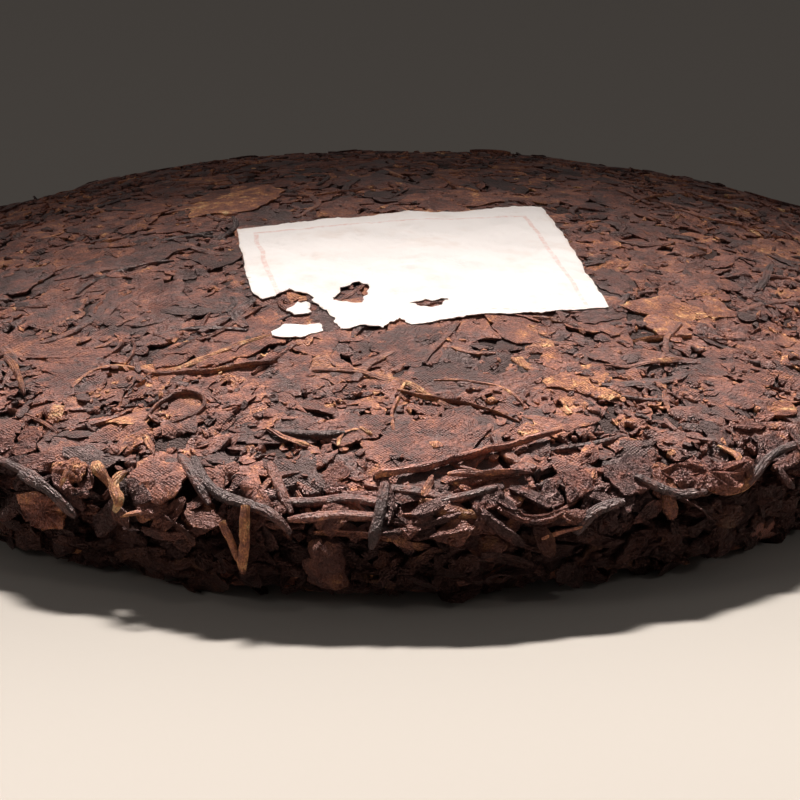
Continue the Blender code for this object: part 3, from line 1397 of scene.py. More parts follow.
class Effects:
    """Shader node groups that several finishes share, each built once."""

    def __init__(self) -> None:
        """Builds the groups."""
        self.tea_tone = self.make_tea_tone()
        self.press_marks = self.make_press_marks()

    def group(self, name: str, inputs: dict[str, float], outputs: dict[str, str]
              ) -> tuple[Nodes, bpy.types.Node, bpy.types.Node]:
        """An empty group with its sockets.

        Args:
            name: Its name.
            inputs: Names and starting values of its number inputs.
            outputs: Names and socket types of its outputs.

        Returns:
            What adds nodes to it, and its input and output nodes.
        """
        tree = bpy.data.node_groups.new(name, "ShaderNodeTree")
        for label, start in inputs.items():
            socket = tree.interface.new_socket(
                name=label, in_out="INPUT", socket_type="NodeSocketFloat"
            )
            socket.default_value = start
        for label, kind in outputs.items():
            tree.interface.new_socket(name=label, in_out="OUTPUT", socket_type=kind)
        nodes = Nodes(tree)
        return nodes, nodes.add("NodeGroupInput"), nodes.add("NodeGroupOutput")

    def make_tea_tone(self) -> bpy.types.NodeTree:
        """Colour and roughness of fermented leaf, from each point's tone.

        Returns:
            The group.
        """
        nodes, given, out = self.group(
            "tea_tone",
            {"Mottle": 1.0, "Worn Edges": 1.0, "Brightness": 1.0, "Dullness": 0.74, "Painted Weave Shade": 0.0},
            {"Color": "NodeSocketColor", "Roughness": "NodeSocketFloat"},
        )
        mottle, worn_edges, brightness, dullness, painted_weave_shade = given.outputs[:5]
        tone = nodes.add("Attribute", attribute_name="tone")
        parts = nodes.add("SeparateColor", {"Color": tone.outputs["Color"]})
        tint, shade, edge = parts.outputs
        place = nodes.add("TexCoord").outputs["Object"]
        patches = nodes.math("SUBTRACT", nodes.noise(place, 420.0, 3.0, 0.6), 0.5)
        moved = tint
        for scale, detail, share in ((150.0, 2.0, 0.75), (420.0, 3.0, 1.05), (1900.0, 2.0, 0.45)):
            stain = nodes.math("SUBTRACT", nodes.noise(place, scale, detail, 0.6), 0.5)
            stain = nodes.math("MULTIPLY", stain, nodes.math("MULTIPLY", mottle, share))
            moved = nodes.math("ADD", moved, stain)
        rusty = nodes.between(nodes.noise(place, 260.0, 3.0, 0.65), 0.60, 0.70)
        rusty = nodes.math("MULTIPLY", rusty, nodes.math("MULTIPLY", mottle, 0.20))
        moved = nodes.math("ADD", moved, rusty)
        worn = nodes.math("MULTIPLY", nodes.between(edge, 0.35, 1.0), worn_edges)
        worn = nodes.math("MULTIPLY", worn, nodes.between(nodes.noise(place, 700.0), 0.42, 0.62))
        moved = nodes.math("ADD", moved, nodes.math("MULTIPLY", worn, 0.13))
        colour = nodes.ramp(moved, LEAF_COLOURS)
        # The shade channel holds each leaf's own brightness together with the shade painted into skirts,
        # folds, creases and the low side of the rim.
        bright = nodes.math("MULTIPLY", nodes.math("MULTIPLY", shade, 2.0), brightness)
        grit = nodes.between(nodes.noise(place, 3300.0, 1.0), 0.3, 0.75, 0.68, 1.30)
        bright = nodes.math("MULTIPLY", bright, grit)
        # Painted light and shade of the cloth's weave: the colour is lighter where its print stands up
        # and darker in its hollows.
        bright = nodes.math("MULTIPLY", bright, nodes.math("ADD", painted_weave_shade, 1.0))
        scaled = nodes.add("VectorMath", {0: colour}, operation="SCALE")
        nodes.tree.links.new(bright, scaled.inputs["Scale"])
        nodes.tree.links.new(scaled.outputs[0], out.inputs["Color"])
        gloss = nodes.math("MULTIPLY", tone.outputs["Alpha"], -0.30)
        rough = nodes.math("ADD", gloss, dullness)
        rough = nodes.math("ADD", rough, nodes.math("MULTIPLY", patches, 0.35))
        nodes.tree.links.new(rough, out.inputs["Roughness"])
        return nodes.tree

    def make_press_marks(self) -> bpy.types.NodeTree:
        """Height of the cloth's print, the leaf's wrinkles and its fibres, and the print alone, which
        the tea tone paints into the colour as light and shade.

        Returns:
            The group.
        """
        nodes, given, out = self.group(
            "press_marks",
            {"Weave": 0.5, "Wrinkles": 0.5, "Fibres": 0.3, "Grit": 0.3},
            {"Height": "NodeSocketFloat", "Painted Weave Shade": "NodeSocketFloat"},
        )
        weave, wrinkles, fibres, grit = given.outputs[:4]
        place = nodes.add("TexCoord").outputs["Object"]
        parts = nodes.add("SeparateXYZ", {0: place})
        drift = nodes.math("MULTIPLY", nodes.noise(place, 90.0, 1.0), 3.0)
        threads = []
        for axis, pitch in ((0, 0.00054), (1, 0.00051)):
            turns = nodes.math("MULTIPLY", parts.outputs[axis], TAU / pitch)
            threads.append(nodes.math("SINE", nodes.math("ADD", turns, drift)))
        print_height = nodes.math("MULTIPLY", threads[0], threads[1])
        faint = nodes.between(nodes.noise(place, 160.0, 1.0), 0.38, 0.66, 0.1, 1.0)
        total = nodes.math("MULTIPLY", nodes.math("MULTIPLY", print_height, faint), weave)
        nodes.tree.links.new(nodes.math("MULTIPLY", total, 1.2), out.inputs["Painted Weave Shade"])
        grain = nodes.add("Attribute", attribute_name="grain").outputs["Vector"]
        long_way = nodes.add("Mapping", {"Vector": grain, "Scale": (0.8, 1.3, 1.0)}).outputs[0]
        folds = nodes.noise(long_way, 0.75, 4.0, 0.62)
        folds = nodes.math("ABSOLUTE", nodes.math("SUBTRACT", folds, 0.5))
        folds = nodes.between(folds, 0.0, 0.16)
        broad = nodes.noise(long_way, 0.5, 2.0, 0.5)
        folds = nodes.math("ADD", nodes.math("MULTIPLY", folds, 0.45), broad)
        total = nodes.math("ADD", total, nodes.math("MULTIPLY", folds, wrinkles))
        strands = nodes.add("Mapping", {"Vector": grain, "Scale": (0.25, 4.5, 1.0)}).outputs[0]
        lines = nodes.noise(strands, 1.0, 2.0, 0.5)
        total = nodes.math("ADD", total, nodes.math("MULTIPLY", lines, fibres))
        fine = nodes.noise(place, 2600.0, 2.0, 0.6)
        total = nodes.math("ADD", total, nodes.math("MULTIPLY", fine, grit))
        nodes.tree.links.new(total, out.inputs["Height"])
        return nodes.tree


@dataclass(frozen=True)
class TeaFinish:
    """The finish of one kind of tea piece.

    Attributes:
        name: The material's name.
        mottle: How much the colour changes within a leaf.
        worn_edges: How much paler edges are.
        brightness: What the leaf colours are multiplied by.
        dullness: Roughness of its dullest leaves.
        weave: Depth of the cloth's print, and of the painted light and shade that follow it in the
            colour.
        wrinkles: Depth of the leaf's own wrinkles.
        fibres: Depth of lines along it.
        grit: Depth of the finest unevenness.
        depth: Height of all these marks, in metres.
        specular: Strength of the reflection, 0.5 being that of leaf wax.
        reflection: Linear colour of the reflection.
    """

    name: str
    mottle: float = 1.0
    worn_edges: float = 1.0
    brightness: float = 1.0
    dullness: float = 0.70
    weave: float = 0.20
    wrinkles: float = 0.8
    fibres: float = 0.25
    grit: float = 0.8
    depth: float = 0.0004
    specular: float = 0.75
    reflection: tuple[float, float, float] = (1.0, 0.63, 0.57)

    def material(self, effects: Effects) -> bpy.types.Material:
        """Makes the material.

        Args:
            effects: The shared groups.

        Returns:
            The material.
        """
        material = bpy.data.materials.new(self.name)
        material.use_nodes = True
        nodes = Nodes(material.node_tree)
        shader = material.node_tree.nodes["Principled BSDF"]
        tone = nodes.add("Group", node_tree=effects.tea_tone)
        for label, value in (
            ("Mottle", self.mottle),
            ("Worn Edges", self.worn_edges),
            ("Brightness", self.brightness),
            ("Dullness", self.dullness),
        ):
            tone.inputs[label].default_value = value
        marks = nodes.add("Group", node_tree=effects.press_marks)
        for label, value in (
            ("Weave", self.weave),
            ("Wrinkles", self.wrinkles),
            ("Fibres", self.fibres),
            ("Grit", self.grit),
        ):
            marks.inputs[label].default_value = value
        bump = nodes.add("Bump", {"Height": marks.outputs["Height"], "Distance": self.depth})
        links = material.node_tree.links
        links.new(marks.outputs["Painted Weave Shade"], tone.inputs["Painted Weave Shade"])
        links.new(tone.outputs["Color"], shader.inputs["Base Color"])
        links.new(tone.outputs["Roughness"], shader.inputs["Roughness"])
        links.new(bump.outputs["Normal"], shader.inputs["Normal"])
        shader.inputs["Specular IOR Level"].default_value = self.specular
        shader.inputs["Specular Tint"].default_value = (*self.reflection, 1.0)
        return material


@dataclass(frozen=True)
class PaperFinish:
    """Thin off-white rice paper with a faint rule round its border.

    Attributes:
        name: The material's name.
        paper: Linear colour of the bare paper.
        rule: Linear colour of the printed rule.
        stain: Linear colour that tea leaves in the paper.
        rule_at: Where the rule runs, as a share of the way from the middle to the edge.
        rule_width: Its half width, as the same share.
        depth: Height of the paper's fibres, in metres.
    """

    name: str
    paper: tuple[float, float, float] = (0.95, 0.89, 0.87)
    rule: tuple[float, float, float] = (0.86, 0.66, 0.62)
    stain: tuple[float, float, float] = (0.70, 0.52, 0.42)
    rule_at: float = 0.865
    rule_width: float = 0.018
    depth: float = 0.00006

    def material(self) -> bpy.types.Material:
        """Makes the material.

        Returns:
            The material.
        """
        material = bpy.data.materials.new(self.name)
        material.use_nodes = True
        nodes = Nodes(material.node_tree)
        shader = material.node_tree.nodes["Principled BSDF"]
        place = nodes.add("TexCoord").outputs["Object"]
        grain = nodes.add("Attribute", attribute_name="grain").outputs["Vector"]
        parts = nodes.add("SeparateXYZ", {0: grain})
        out = nodes.math(
            "MAXIMUM",
            nodes.math("ABSOLUTE", parts.outputs[0]),
            nodes.math("ABSOLUTE", parts.outputs[1]),
        )
        away = nodes.math("ABSOLUTE", nodes.math("SUBTRACT", out, self.rule_at))
        line = nodes.between(away, self.rule_width, self.rule_width * 0.55)
        ink = nodes.between(nodes.noise(place, 900.0, 3.0, 0.7), 0.38, 0.60, 0.25, 1.0)
        line = nodes.math("MULTIPLY", line, ink)
        tone = nodes.add("Attribute", attribute_name="tone")
        edge = nodes.add("SeparateColor", {"Color": tone.outputs["Color"]}).outputs[2]
        cloud = nodes.between(nodes.noise(place, 120.0, 3.0, 0.6), 0.50, 0.78, 0.0, 0.30)
        stained = nodes.math("ADD", cloud, nodes.math("MULTIPLY", edge, 0.35))
        colour = nodes.mix(stained, (*self.paper, 1.0), (*self.stain, 1.0))
        colour = nodes.mix(line, colour, (*self.rule, 1.0))
        fibres = nodes.noise(place, 1500.0, 4.0, 0.65)
        creases = nodes.noise(place, 260.0, 3.0, 0.6)
        height = nodes.math("ADD", fibres, nodes.math("MULTIPLY", creases, 3.0))
        bump = nodes.add("Bump", {"Height": height, "Distance": self.depth})
        links = material.node_tree.links
        links.new(colour, shader.inputs["Base Color"])
        links.new(bump.outputs["Normal"], shader.inputs["Normal"])
        shader.inputs["Roughness"].default_value = 0.85
        shader.inputs["Specular IOR Level"].default_value = 0.25
        return material


# ---------------------------------------------------------------------------
# The pile of tea
# ---------------------------------------------------------------------------


class Pile:
    """Every leaf shape made so far, by the piece that it goes into."""

    def __init__(self) -> None:
        """Starts with nothing."""
        self.shapes: dict[Layer, list[Shape]] = {layer: [] for layer in Layer}

    def add(self, layer: Layer, shape: Shape) -> None:
        """Puts a shape into a piece."""
        self.shapes[layer].append(shape)

    def drop_hidden(self, least: float = 0.10) -> None:
        """Leaves out every shape that later ones cover.

        Args:
            least: The share of a shape that must show for it to stay.
        """
        for layer, shapes in self.shapes.items():
            kept = [shape for shape in shapes if shape.footprint.shown() >= least]
            log.info("%s: %d of %d shapes show", layer.value, len(kept), len(shapes))
            self.shapes[layer] = kept


class LeafDyes:
    """Draws the colours of the blend, which vary from leaf to leaf."""

    def __init__(self, seed: int) -> None:
        """Starts its own random draws."""
        self.rng = np.random.default_rng(seed)

    def leaf(self) -> Dye:
        """A flattened piece of leaf: mostly brown, some of them slate grey."""
        tint = float(np.clip(self.rng.normal(0.48, 0.10), 0.22, 0.76))
        if self.rng.random() < 0.20:
            tint = float(self.rng.uniform(0.12, 0.32))
        return Dye(tint, float(self.rng.uniform(0.43, 0.58)), float(self.rng.uniform(0.0, 1.0)))

    def strand(self) -> Dye:
        """A smooth dark strand."""
        tint = float(np.clip(self.rng.normal(0.36, 0.13), 0.08, 0.62))
        return Dye(tint, float(self.rng.uniform(0.40, 0.60)), float(self.rng.uniform(0.3, 1.0)))

    def stem(self) -> Dye:
        """A woody stem, paler than the leaves."""
        tint = float(self.rng.uniform(0.50, 0.76))
        return Dye(tint, float(self.rng.uniform(0.45, 0.66)), float(self.rng.uniform(0.2, 0.7)))

    def crumb(self) -> Dye:
        """A small broken bit of anything."""
        tint = float(self.rng.uniform(0.22, 0.66))
        if self.rng.random() < 0.06:
            tint = float(self.rng.uniform(0.68, 0.82))
        return Dye(tint, float(self.rng.uniform(0.42, 0.62)), float(self.rng.uniform(0.1, 0.8)))

    def dark(self, deep: float) -> Dye:
        """A leaf of the rim, with painted shade that darkens it further down the side.

        Args:
            deep: 0 at the shoulder and 1 low on the side, where the most painted shade is put on the
                leaves.

        Returns:
            Its colour.
        """
        tint = float(np.clip(self.rng.normal(0.42, 0.13), 0.05, 0.70))
        if self.rng.random() < 0.25:
            tint = float(self.rng.uniform(0.05, 0.25))
        # Painted shade: the lower the leaf lies on the side, the darker it is made, down to 0.12 of its
        # shade.
        shade = float(self.rng.uniform(0.44, 0.64)) * (1.0 - 0.88 * deep)
        return Dye(tint, shade, float(self.rng.uniform(0.2, 1.0)))


@dataclass(frozen=True)
class CoreBed:
    """How far under the cake's face its crumbly core lies.

    Attributes:
        top: Depth under the top, in mm.
        side: Depth under the side, in mm.
        begins: Distance from the middle at which the core starts to sink.
        ends: Distance at which it reaches the side's depth.
        roughness: Height of its unevenness.
        ripple: The unevenness itself.
    """

    top: float
    side: float
    begins: float
    ends: float
    roughness: float
    ripple: Ripple

    def level(self, x: Array, y: Array) -> Array:
        """Height of the core's surface at flat places, which is below the face."""
        along = np.hypot(x, y)
        share = np.clip((along - self.begins) / (self.ends - self.begins), 0.0, 1.0)
        share = share * share * (3.0 - 2.0 * share)
        uneven = self.ripple.rough(x / 3.0 + 60.0, y / 3.0 + 60.0, 3) * self.roughness
        return -self.top + share * (self.top - self.side) + uneven


@dataclass(frozen=True)
class CakeCore:
    """The crumbly tea that the leaves lie on, closed all round.

    Attributes:
        upper: The upper face.
        under: The underside.
        beds: The core's depth under each of them.
        turns: Points round it.
        spacing: Distance between two of its rings, in mm.
        overlap: How far each face runs past where the two rings join, in mm.
    """

    upper: CakeFace
    under: CakeFace
    beds: tuple[CoreBed, CoreBed]
    turns: int = 150
    spacing: float = 1.7
    overlap: float = 9.0

    def shape(self) -> Shape:
        """The core's surface.

        Returns:
            The shape, with its top's middle first and its underside's last.
        """
        angles = np.arange(self.turns) * TAU / self.turns
        way = np.stack([np.cos(angles), np.sin(angles)], axis=1)
        rings = []
        for face, bed, reach in zip(
            (self.upper, self.under), self.beds, self.reaches()
        ):
            along = np.arange(self.spacing, reach, self.spacing)
            flat = (along[:, None, None] * way[None]).reshape(-1, 2)
            level = bed.level(flat[:, 0], flat[:, 1])
            rings.append((flat, face.place(flat, level).reshape(-1, self.turns, 3)))
        middle = np.zeros((1, 2))
        ends = [
            face.place(middle, bed.level(middle[:, 0], middle[:, 1]))
            for face, bed in zip((self.upper, self.under), self.beds)
        ]
        top, bottom = rings[0][1], rings[1][1][::-1]
        body = np.concatenate([top, bottom])
        points = np.concatenate([ends[0], body.reshape(-1, 3), ends[1]])
        count = len(body)
        flat = np.concatenate([middle, rings[0][0], rings[1][0][::-1], middle])
        # The core is the cake's own crumbled tea, but its shade is set low as painted shade, so that
        # where it shows between the leaves it reads as shadow.
        tone = Dye(0.22, 0.34, 0.2).tone(len(points), 0.0)
        grain = np.column_stack([flat, np.zeros(len(flat))])
        return Shape(points, fan(count, self.turns), tone, grain)

    def reaches(self) -> tuple[float, float]:
        """How far out each face is followed."""
        return self.upper.reach - self.overlap, self.under.reach - self.overlap

    def build(self, piece: Piece) -> bpy.types.Object:
        """Makes the core's piece."""
        return piece.build([self.shape()])


@dataclass(frozen=True)
class PressedTop:
    """The mosaic of flattened leaves that the stone pressed.

    Attributes:
        maker: Makes and lays the leaves.
        dyes: Their colours.
        pile: Where they are kept.
        reach: How far out from the middle they are laid, in mm.
        broad: How many large leaf pieces lie at the bottom.
        middling: How many smaller ones lie on them.
        covers: How many large ones lie over those.
        strands: How many strands lie among these.
        small: How many fragments fill in between.
        crumbs: How many crumbs lie on everything.
        shards: How many rough chips lie on the loose leaves near the rim.
        level: Highest that the stone leaves anything.
    """

    maker: LeafMaker
    dyes: LeafDyes
    pile: Pile
    reach: float = 92.0
    broad: int = 380
    middling: int = 900
    covers: int = 170
    strands: int = 210
    small: int = 1250
    crumbs: int = 1500
    shards: int = 1300
    level: float = 0.15

    def lay(self) -> None:
        """Lays all of the leaves, from the largest to the smallest."""
        for _ in range(self.broad):
            self.lay_broad(Layer.TOP_BED, (0.25, 0.5))
        for _ in range(self.middling):
            self.lay_middling()
        for _ in range(self.covers):
            self.lay_broad(Layer.TOP_COVER, (0.08, 0.26))
        for _ in range(self.strands):
            self.lay_strand()
        for _ in range(self.small):
            self.lay_small()
        for _ in range(self.crumbs):
            self.lay_crumb()
        for _ in range(self.shards):
            self.lay_shard()

    def loose(self, centre: Array) -> float:
        """How loosely leaves are pressed at a flat place: 1 in the middle, more near the rim."""
        share = float(np.clip((np.hypot(*centre) - 62.0) / 28.0, 0.0, 1.0))
        return 1.0 + 1.5 * share * share

    def lay_broad(self, layer: Layer, lift: tuple[float, float]) -> None:
        """Lays one large leaf piece where the pile is low.

        Args:
            layer: The piece that it goes into.
            lift: Lowest and highest that its middle may stand above the pile, in mm.
        """
        rng = self.maker.rng
        centre = self.maker.lowest((0.0, self.reach), 4.0, 8 if layer is Layer.TOP_BED else 2)
        loose = self.loose(centre)
        length = rng.uniform(8.0, 18.0) / math.sqrt(loose)
        form = FlakeForm(
            length=length,
            width=length * rng.uniform(0.45, 0.85),
            dye=self.dyes.leaf(),
            outline=Outline.LEAF if rng.random() < 0.3 else Outline.TORN,
            lift=rng.uniform(*lift) * math.sqrt(loose),
            tilt=(rng.normal(0.0, 0.02) * loose, rng.normal(0.0, 0.03) * loose),
            curl=rng.uniform(0.0, 0.18) * loose,
            crumple=rng.uniform(0.08, 0.20) * loose,
            crease=rng.uniform(2.0, 4.0),
            rib=rng.uniform(0.1, 0.25) if rng.random() < 0.3 else 0.0,
            skirt=0.6,
            flex=1.8,
            detail=1.0,
            ragged=rng.uniform(0.07, 0.13),
            cap=self.level * loose - 0.10,
            give=0.5,
        )
        self.pile.add(layer, self.maker.flake(centre, rng.uniform(0.0, TAU), form))

    def lay_middling(self) -> None:
        """Lays one middling leaf piece."""
        rng = self.maker.rng
        centre = self.maker.lowest((0.0, self.reach), 2.5, 5)
        loose = self.loose(centre)
        length = rng.uniform(3.5, 10.0)
        form = FlakeForm(
            length=length,
            width=length * rng.uniform(0.35, 0.85),
            dye=self.dyes.leaf(),
            outline=Outline.LEAF if rng.random() < 0.3 else Outline.TORN,
            lift=rng.uniform(0.10, 0.26) * loose,
            tilt=(rng.normal(0.0, 0.03) * loose, rng.normal(0.0, 0.05) * loose),
            curl=rng.uniform(0.0, 0.16) * loose,
            crumple=rng.uniform(0.06, 0.18) * loose,
            crease=rng.uniform(1.5, 3.0),
            rib=rng.uniform(0.08, 0.2) if rng.random() < 0.25 else 0.0,
            skirt=0.5,
            ragged=rng.uniform(0.07, 0.14),
            cap=self.level * loose,
            give=0.5,
        )
        self.pile.add(Layer.TOP_MAIN, self.maker.flake(centre, rng.uniform(0.0, TAU), form))

    def lay_strand(self) -> None:
        """Lays one strand, most of them dark and smooth and some of them stems."""
        rng = self.maker.rng
        length = rng.uniform(4.0, 10.0) * rng.uniform(1.0, 2.2)
        woody = rng.random() < 0.28
        centre = self.maker.lowest((0.0, self.reach + 3.0), 3.0, 3)
        loose = self.loose(centre)
        form = StrandForm(
            width=rng.uniform(0.45, 0.9) if woody else rng.uniform(0.7, 1.8),
            thickness=rng.uniform(0.15, 0.3) if woody else rng.uniform(0.1, 0.3) * loose,
            dye=self.dyes.stem() if woody else self.dyes.strand(),
            ridges=int(rng.integers(2, 5)),
            ridge=rng.uniform(0.04, 0.12),
            tapers=(rng.uniform(0.2, 0.9), rng.uniform(0.2, 0.9)),
            lift=rng.uniform(-0.05, 0.1) * loose,
            lean=rng.normal(0.0, 0.06) * loose,
            detail=1.3,
            cap=self.level * loose + (0.15 if woody else 0.05),
        )
        path = self.maker.path(centre, rng.uniform(0.0, TAU), length, rng.normal(0.0, 0.13))
        layer = Layer.STEMS if woody else Layer.TOP_STRANDS
        self.pile.add(layer, self.maker.strand(path, form))

    def lay_small(self) -> None:
        """Lays one small fragment."""
        rng = self.maker.rng
        centre = self.maker.lowest((0.0, self.reach), 1.2, 3)
        loose = self.loose(centre)
        length = rng.uniform(1.4, 4.4)
        form = FlakeForm(
            length=length,
            width=length * rng.uniform(0.3, 0.9),
            dye=self.dyes.leaf(),
            lift=rng.uniform(0.08, 0.23) * loose,
            tilt=(rng.normal(0.0, 0.06) * loose, rng.normal(0.0, 0.10) * loose),
            crumple=rng.uniform(0.04, 0.16) * loose,
            crease=1.4,
            skirt=0.45,
            flex=0.7,
            detail=0.65,
            ragged=0.12,
            cap=self.level * loose + 0.08,
            give=0.5,
        )
        self.pile.add(Layer.TOP_SMALL, self.maker.flake(centre, rng.uniform(0.0, TAU), form))

    def lay_crumb(self) -> None:
        """Lays one crumb."""
        rng = self.maker.rng
        length = rng.uniform(0.7, 1.7)
        form = FlakeForm(
            length=length,
            width=length * rng.uniform(0.4, 0.9),
            dye=self.dyes.crumb(),
            lift=rng.uniform(0.10, 0.28),
            crumple=0.08,
            crease=0.9,
            skirt=0.4,
            flex=0.4,
            detail=0.45,
            ragged=0.12,
            cap=self.level + 0.2,
        )
        centre = self.maker.lowest((0.0, self.reach), 0.6, 2)
        self.pile.add(Layer.TOP_CRUMBS, self.maker.flake(centre, rng.uniform(0.0, TAU), form))

    def lay_shard(self) -> None:
        """Lays one rough chip near the rim."""
        rng = self.maker.rng
        length = rng.uniform(0.9, 2.6)
        form = FlakeForm(
            length=length,
            width=length * rng.uniform(0.3, 0.7),
            dye=self.dyes.leaf(),
            lift=rng.uniform(0.12, 0.45),
            tilt=(rng.normal(0.0, 0.12), rng.normal(0.0, 0.15)),
            crumple=rng.uniform(0.1, 0.22),
            crease=0.8,
            skirt=0.5,
            flex=0.4,
            detail=0.55,
            ragged=0.14,
            cap=0.8,
        )
        centre = self.maker.lowest((66.0, self.reach), 0.6, 3)
        self.pile.add(Layer.TOP_SHARDS, self.maker.flake(centre, rng.uniform(0.0, TAU), form))


@dataclass(frozen=True)
class LumpyRim:
    """Crumpled, folded and rolled leaves round the rim, with deep gaps between.

    Attributes:
        maker: Makes and lays the leaves.
        dyes: Their colours.
        pile: Where they are kept.
        begins: Distance from the middle at which the rim starts, in mm.
        ends: Distance at which the leaves turn under the cake.
        domed: How many domed leaves lie at the bottom.
        strands: How many stiff strands lie across them.
        rolls: How many rolled leaves lie on those.
        curled: How many leaves curl free.
        tilted: How many small tilted leaves fill in between.
        crumbs: How many crumbs lie on everything.
        layered: How many flat leaves and strands run round the shoulder.
    """

    maker: LeafMaker
    dyes: LeafDyes
    pile: Pile
    begins: float = 90.0
    ends: float = 118.0
    domed: int = 420
    strands: int = 190
    rolls: int = 320
    curled: int = 360
    tilted: int = 1050
    crumbs: int = 700
    layered: int = 400

    def lay(self) -> None:
        """Lays all of the leaves but those round the shoulder, which lay_shoulder lays."""
        for _ in range(self.domed):
            self.lay_domed()
        for _ in range(self.strands):
            self.lay_strand()
        for _ in range(self.rolls):
            self.lay_roll()
        for _ in range(self.curled):
            self.lay_curled()
        for _ in range(self.tilted):
            self.lay_tilted(1.8, 6.0)
        for _ in range(self.crumbs):
            self.lay_tilted(0.8, 1.8)

    # Rim leaves get painted shade by this: the further down the side, the darker their dye.
    def deep(self, centre: Array) -> float:
        """How far down the side a flat place is: 0 at the shoulder and 1 low down."""
        return float(np.clip((np.hypot(*centre) - self.begins - 2.0) / 10.0, 0.0, 1.0))

    def lay_domed(self) -> None:
        """Lays one broad crumpled leaf."""
        rng = self.maker.rng
        centre = self.maker.lowest((self.begins, self.ends), 2.5, 8)
        length = rng.uniform(5.0, 11.0)
        form = FlakeForm(
            length=length,
            width=length * rng.uniform(0.45, 0.85),
            dye=self.dyes.dark(self.deep(centre)),
            outline=Outline.LEAF if rng.random() < 0.4 else Outline.TORN,
            lift=rng.uniform(0.7, 1.4),
            tilt=(rng.normal(0.0, 0.10), rng.normal(0.0, 0.16)),
            dome=rng.uniform(0.1, 0.8),
            curl=rng.uniform(0.0, 0.8),
            crumple=rng.uniform(0.25, 0.6),
            crease=rng.uniform(1.4, 2.8),
            skirt=1.1,
            flex=1.8,
            cap=0.3,
            give=0.7,
        )
        turn = self.direction()
        self.pile.add(Layer.RIM_BED, self.maker.flake(centre, turn, form))

    def direction(self) -> float:
        """A direction, more often round the rim than across it."""
        rng = self.maker.rng
        return math.pi / 2 + rng.normal(0.0, 0.75) + (math.pi if rng.random() < 0.5 else 0.0)

    def lay_strand(self) -> None:
        """Lays one stiff, flattened strand across the leaves below."""
        rng = self.maker.rng
        centre = self.maker.lowest((self.begins + 1.0, self.ends), 2.0, 4)
        form = StrandForm(
            width=rng.uniform(0.9, 2.8),
            thickness=rng.uniform(0.25, 0.6),
            dye=self.dyes.dark(self.deep(centre)),
            ridges=int(rng.integers(2, 5)),
            ridge=rng.uniform(0.06, 0.16),
            tapers=(rng.uniform(0.2, 0.8), rng.uniform(0.2, 0.8)),
            lift=rng.uniform(0.0, 0.5),
            lean=rng.normal(0.0, 0.35),
            wave=0.3,
            skirt=0.7,
            stiff=5.0,
            detail=1.3,
            cap=0.8,
            give=0.6,
        )
        length = rng.uniform(4.0, 15.0)
        path = self.maker.path(centre, self.direction(), length, rng.normal(0.0, 0.14))
        self.pile.add(Layer.RIM_STRANDS, self.maker.strand(path, form))

    def lay_roll(self) -> None:
        """Lays one rolled leaf."""
        rng = self.maker.rng
        centre = self.maker.lowest((self.begins + 3.0, self.ends), 2.0, 4)
        form = RollForm(
            width=rng.uniform(0.8, 2.3),
            dye=self.dyes.dark(self.deep(centre)),
            flatness=rng.uniform(0.4, 0.8),
            groove=rng.uniform(0.25, 0.6),
            twist=rng.normal(0.0, 0.5),
            knots=rng.uniform(0.08, 0.25),
            tapers=(rng.uniform(0.15, 0.6), rng.uniform(0.15, 0.6)),
            rise=rng.uniform(-0.3, 0.3),
            arch=rng.uniform(-0.5, 0.8),
        )
        length = rng.uniform(3.0, 11.0)
        path = self.maker.path(centre, self.direction(), length, rng.normal(0, 0.12))
        self.pile.add(Layer.RIM_ROLLS, self.maker.roll(path, form))

    def lay_curled(self) -> None:
        """Lays one leaf that curls free, its edge showing."""
        rng = self.maker.rng
        centre = self.maker.lowest((self.begins + 3.0, self.ends), 1.5, 5)
        length = rng.uniform(3.5, 9.0)
        form = SheetForm(
            length=length,
            width=length * rng.uniform(0.4, 0.75),
            dye=self.dyes.dark(self.deep(centre)),
            roll=rng.normal(0.0, 0.28),
            bend=rng.normal(0.0, 0.05),
            twist=rng.normal(0.0, 0.5),
            tip=rng.normal(0.0, 0.5),
            pitch=rng.normal(0.0, 0.15),
            crumple=rng.uniform(0.15, 0.4),
            rise=rng.uniform(-1.6, -0.2),
            rows=(9, 6),
        )
        self.pile.add(Layer.RIM_CURLED, self.maker.sheet(centre, self.direction(), form))

    def lay_tilted(self, low: float, high: float) -> None:
        """Lays one small leaf that leans.

        Args:
            low: Its smallest length, in mm.
            high: Its greatest length.
        """
        rng = self.maker.rng
        centre = self.maker.lowest((self.begins, self.ends), 1.5, 5)
        length = rng.uniform(low, high)
        form = FlakeForm(
            length=length,
            width=length * rng.uniform(0.35, 0.8),
            dye=self.dyes.dark(self.deep(centre)),
            lift=rng.uniform(0.3, 0.9),
            tilt=(rng.normal(0.0, 0.18), rng.normal(0.0, 0.25)),
            dome=rng.uniform(0.0, 0.5),
            crumple=rng.uniform(0.1, 0.35),
            crease=rng.uniform(1.2, 2.2),
            skirt=0.8,
            flex=1.0,
            detail=0.8,
            cap=0.7,
            give=0.7,
        )
        self.pile.add(Layer.RIM_LEAVES, self.maker.flake(centre, self.direction(), form))

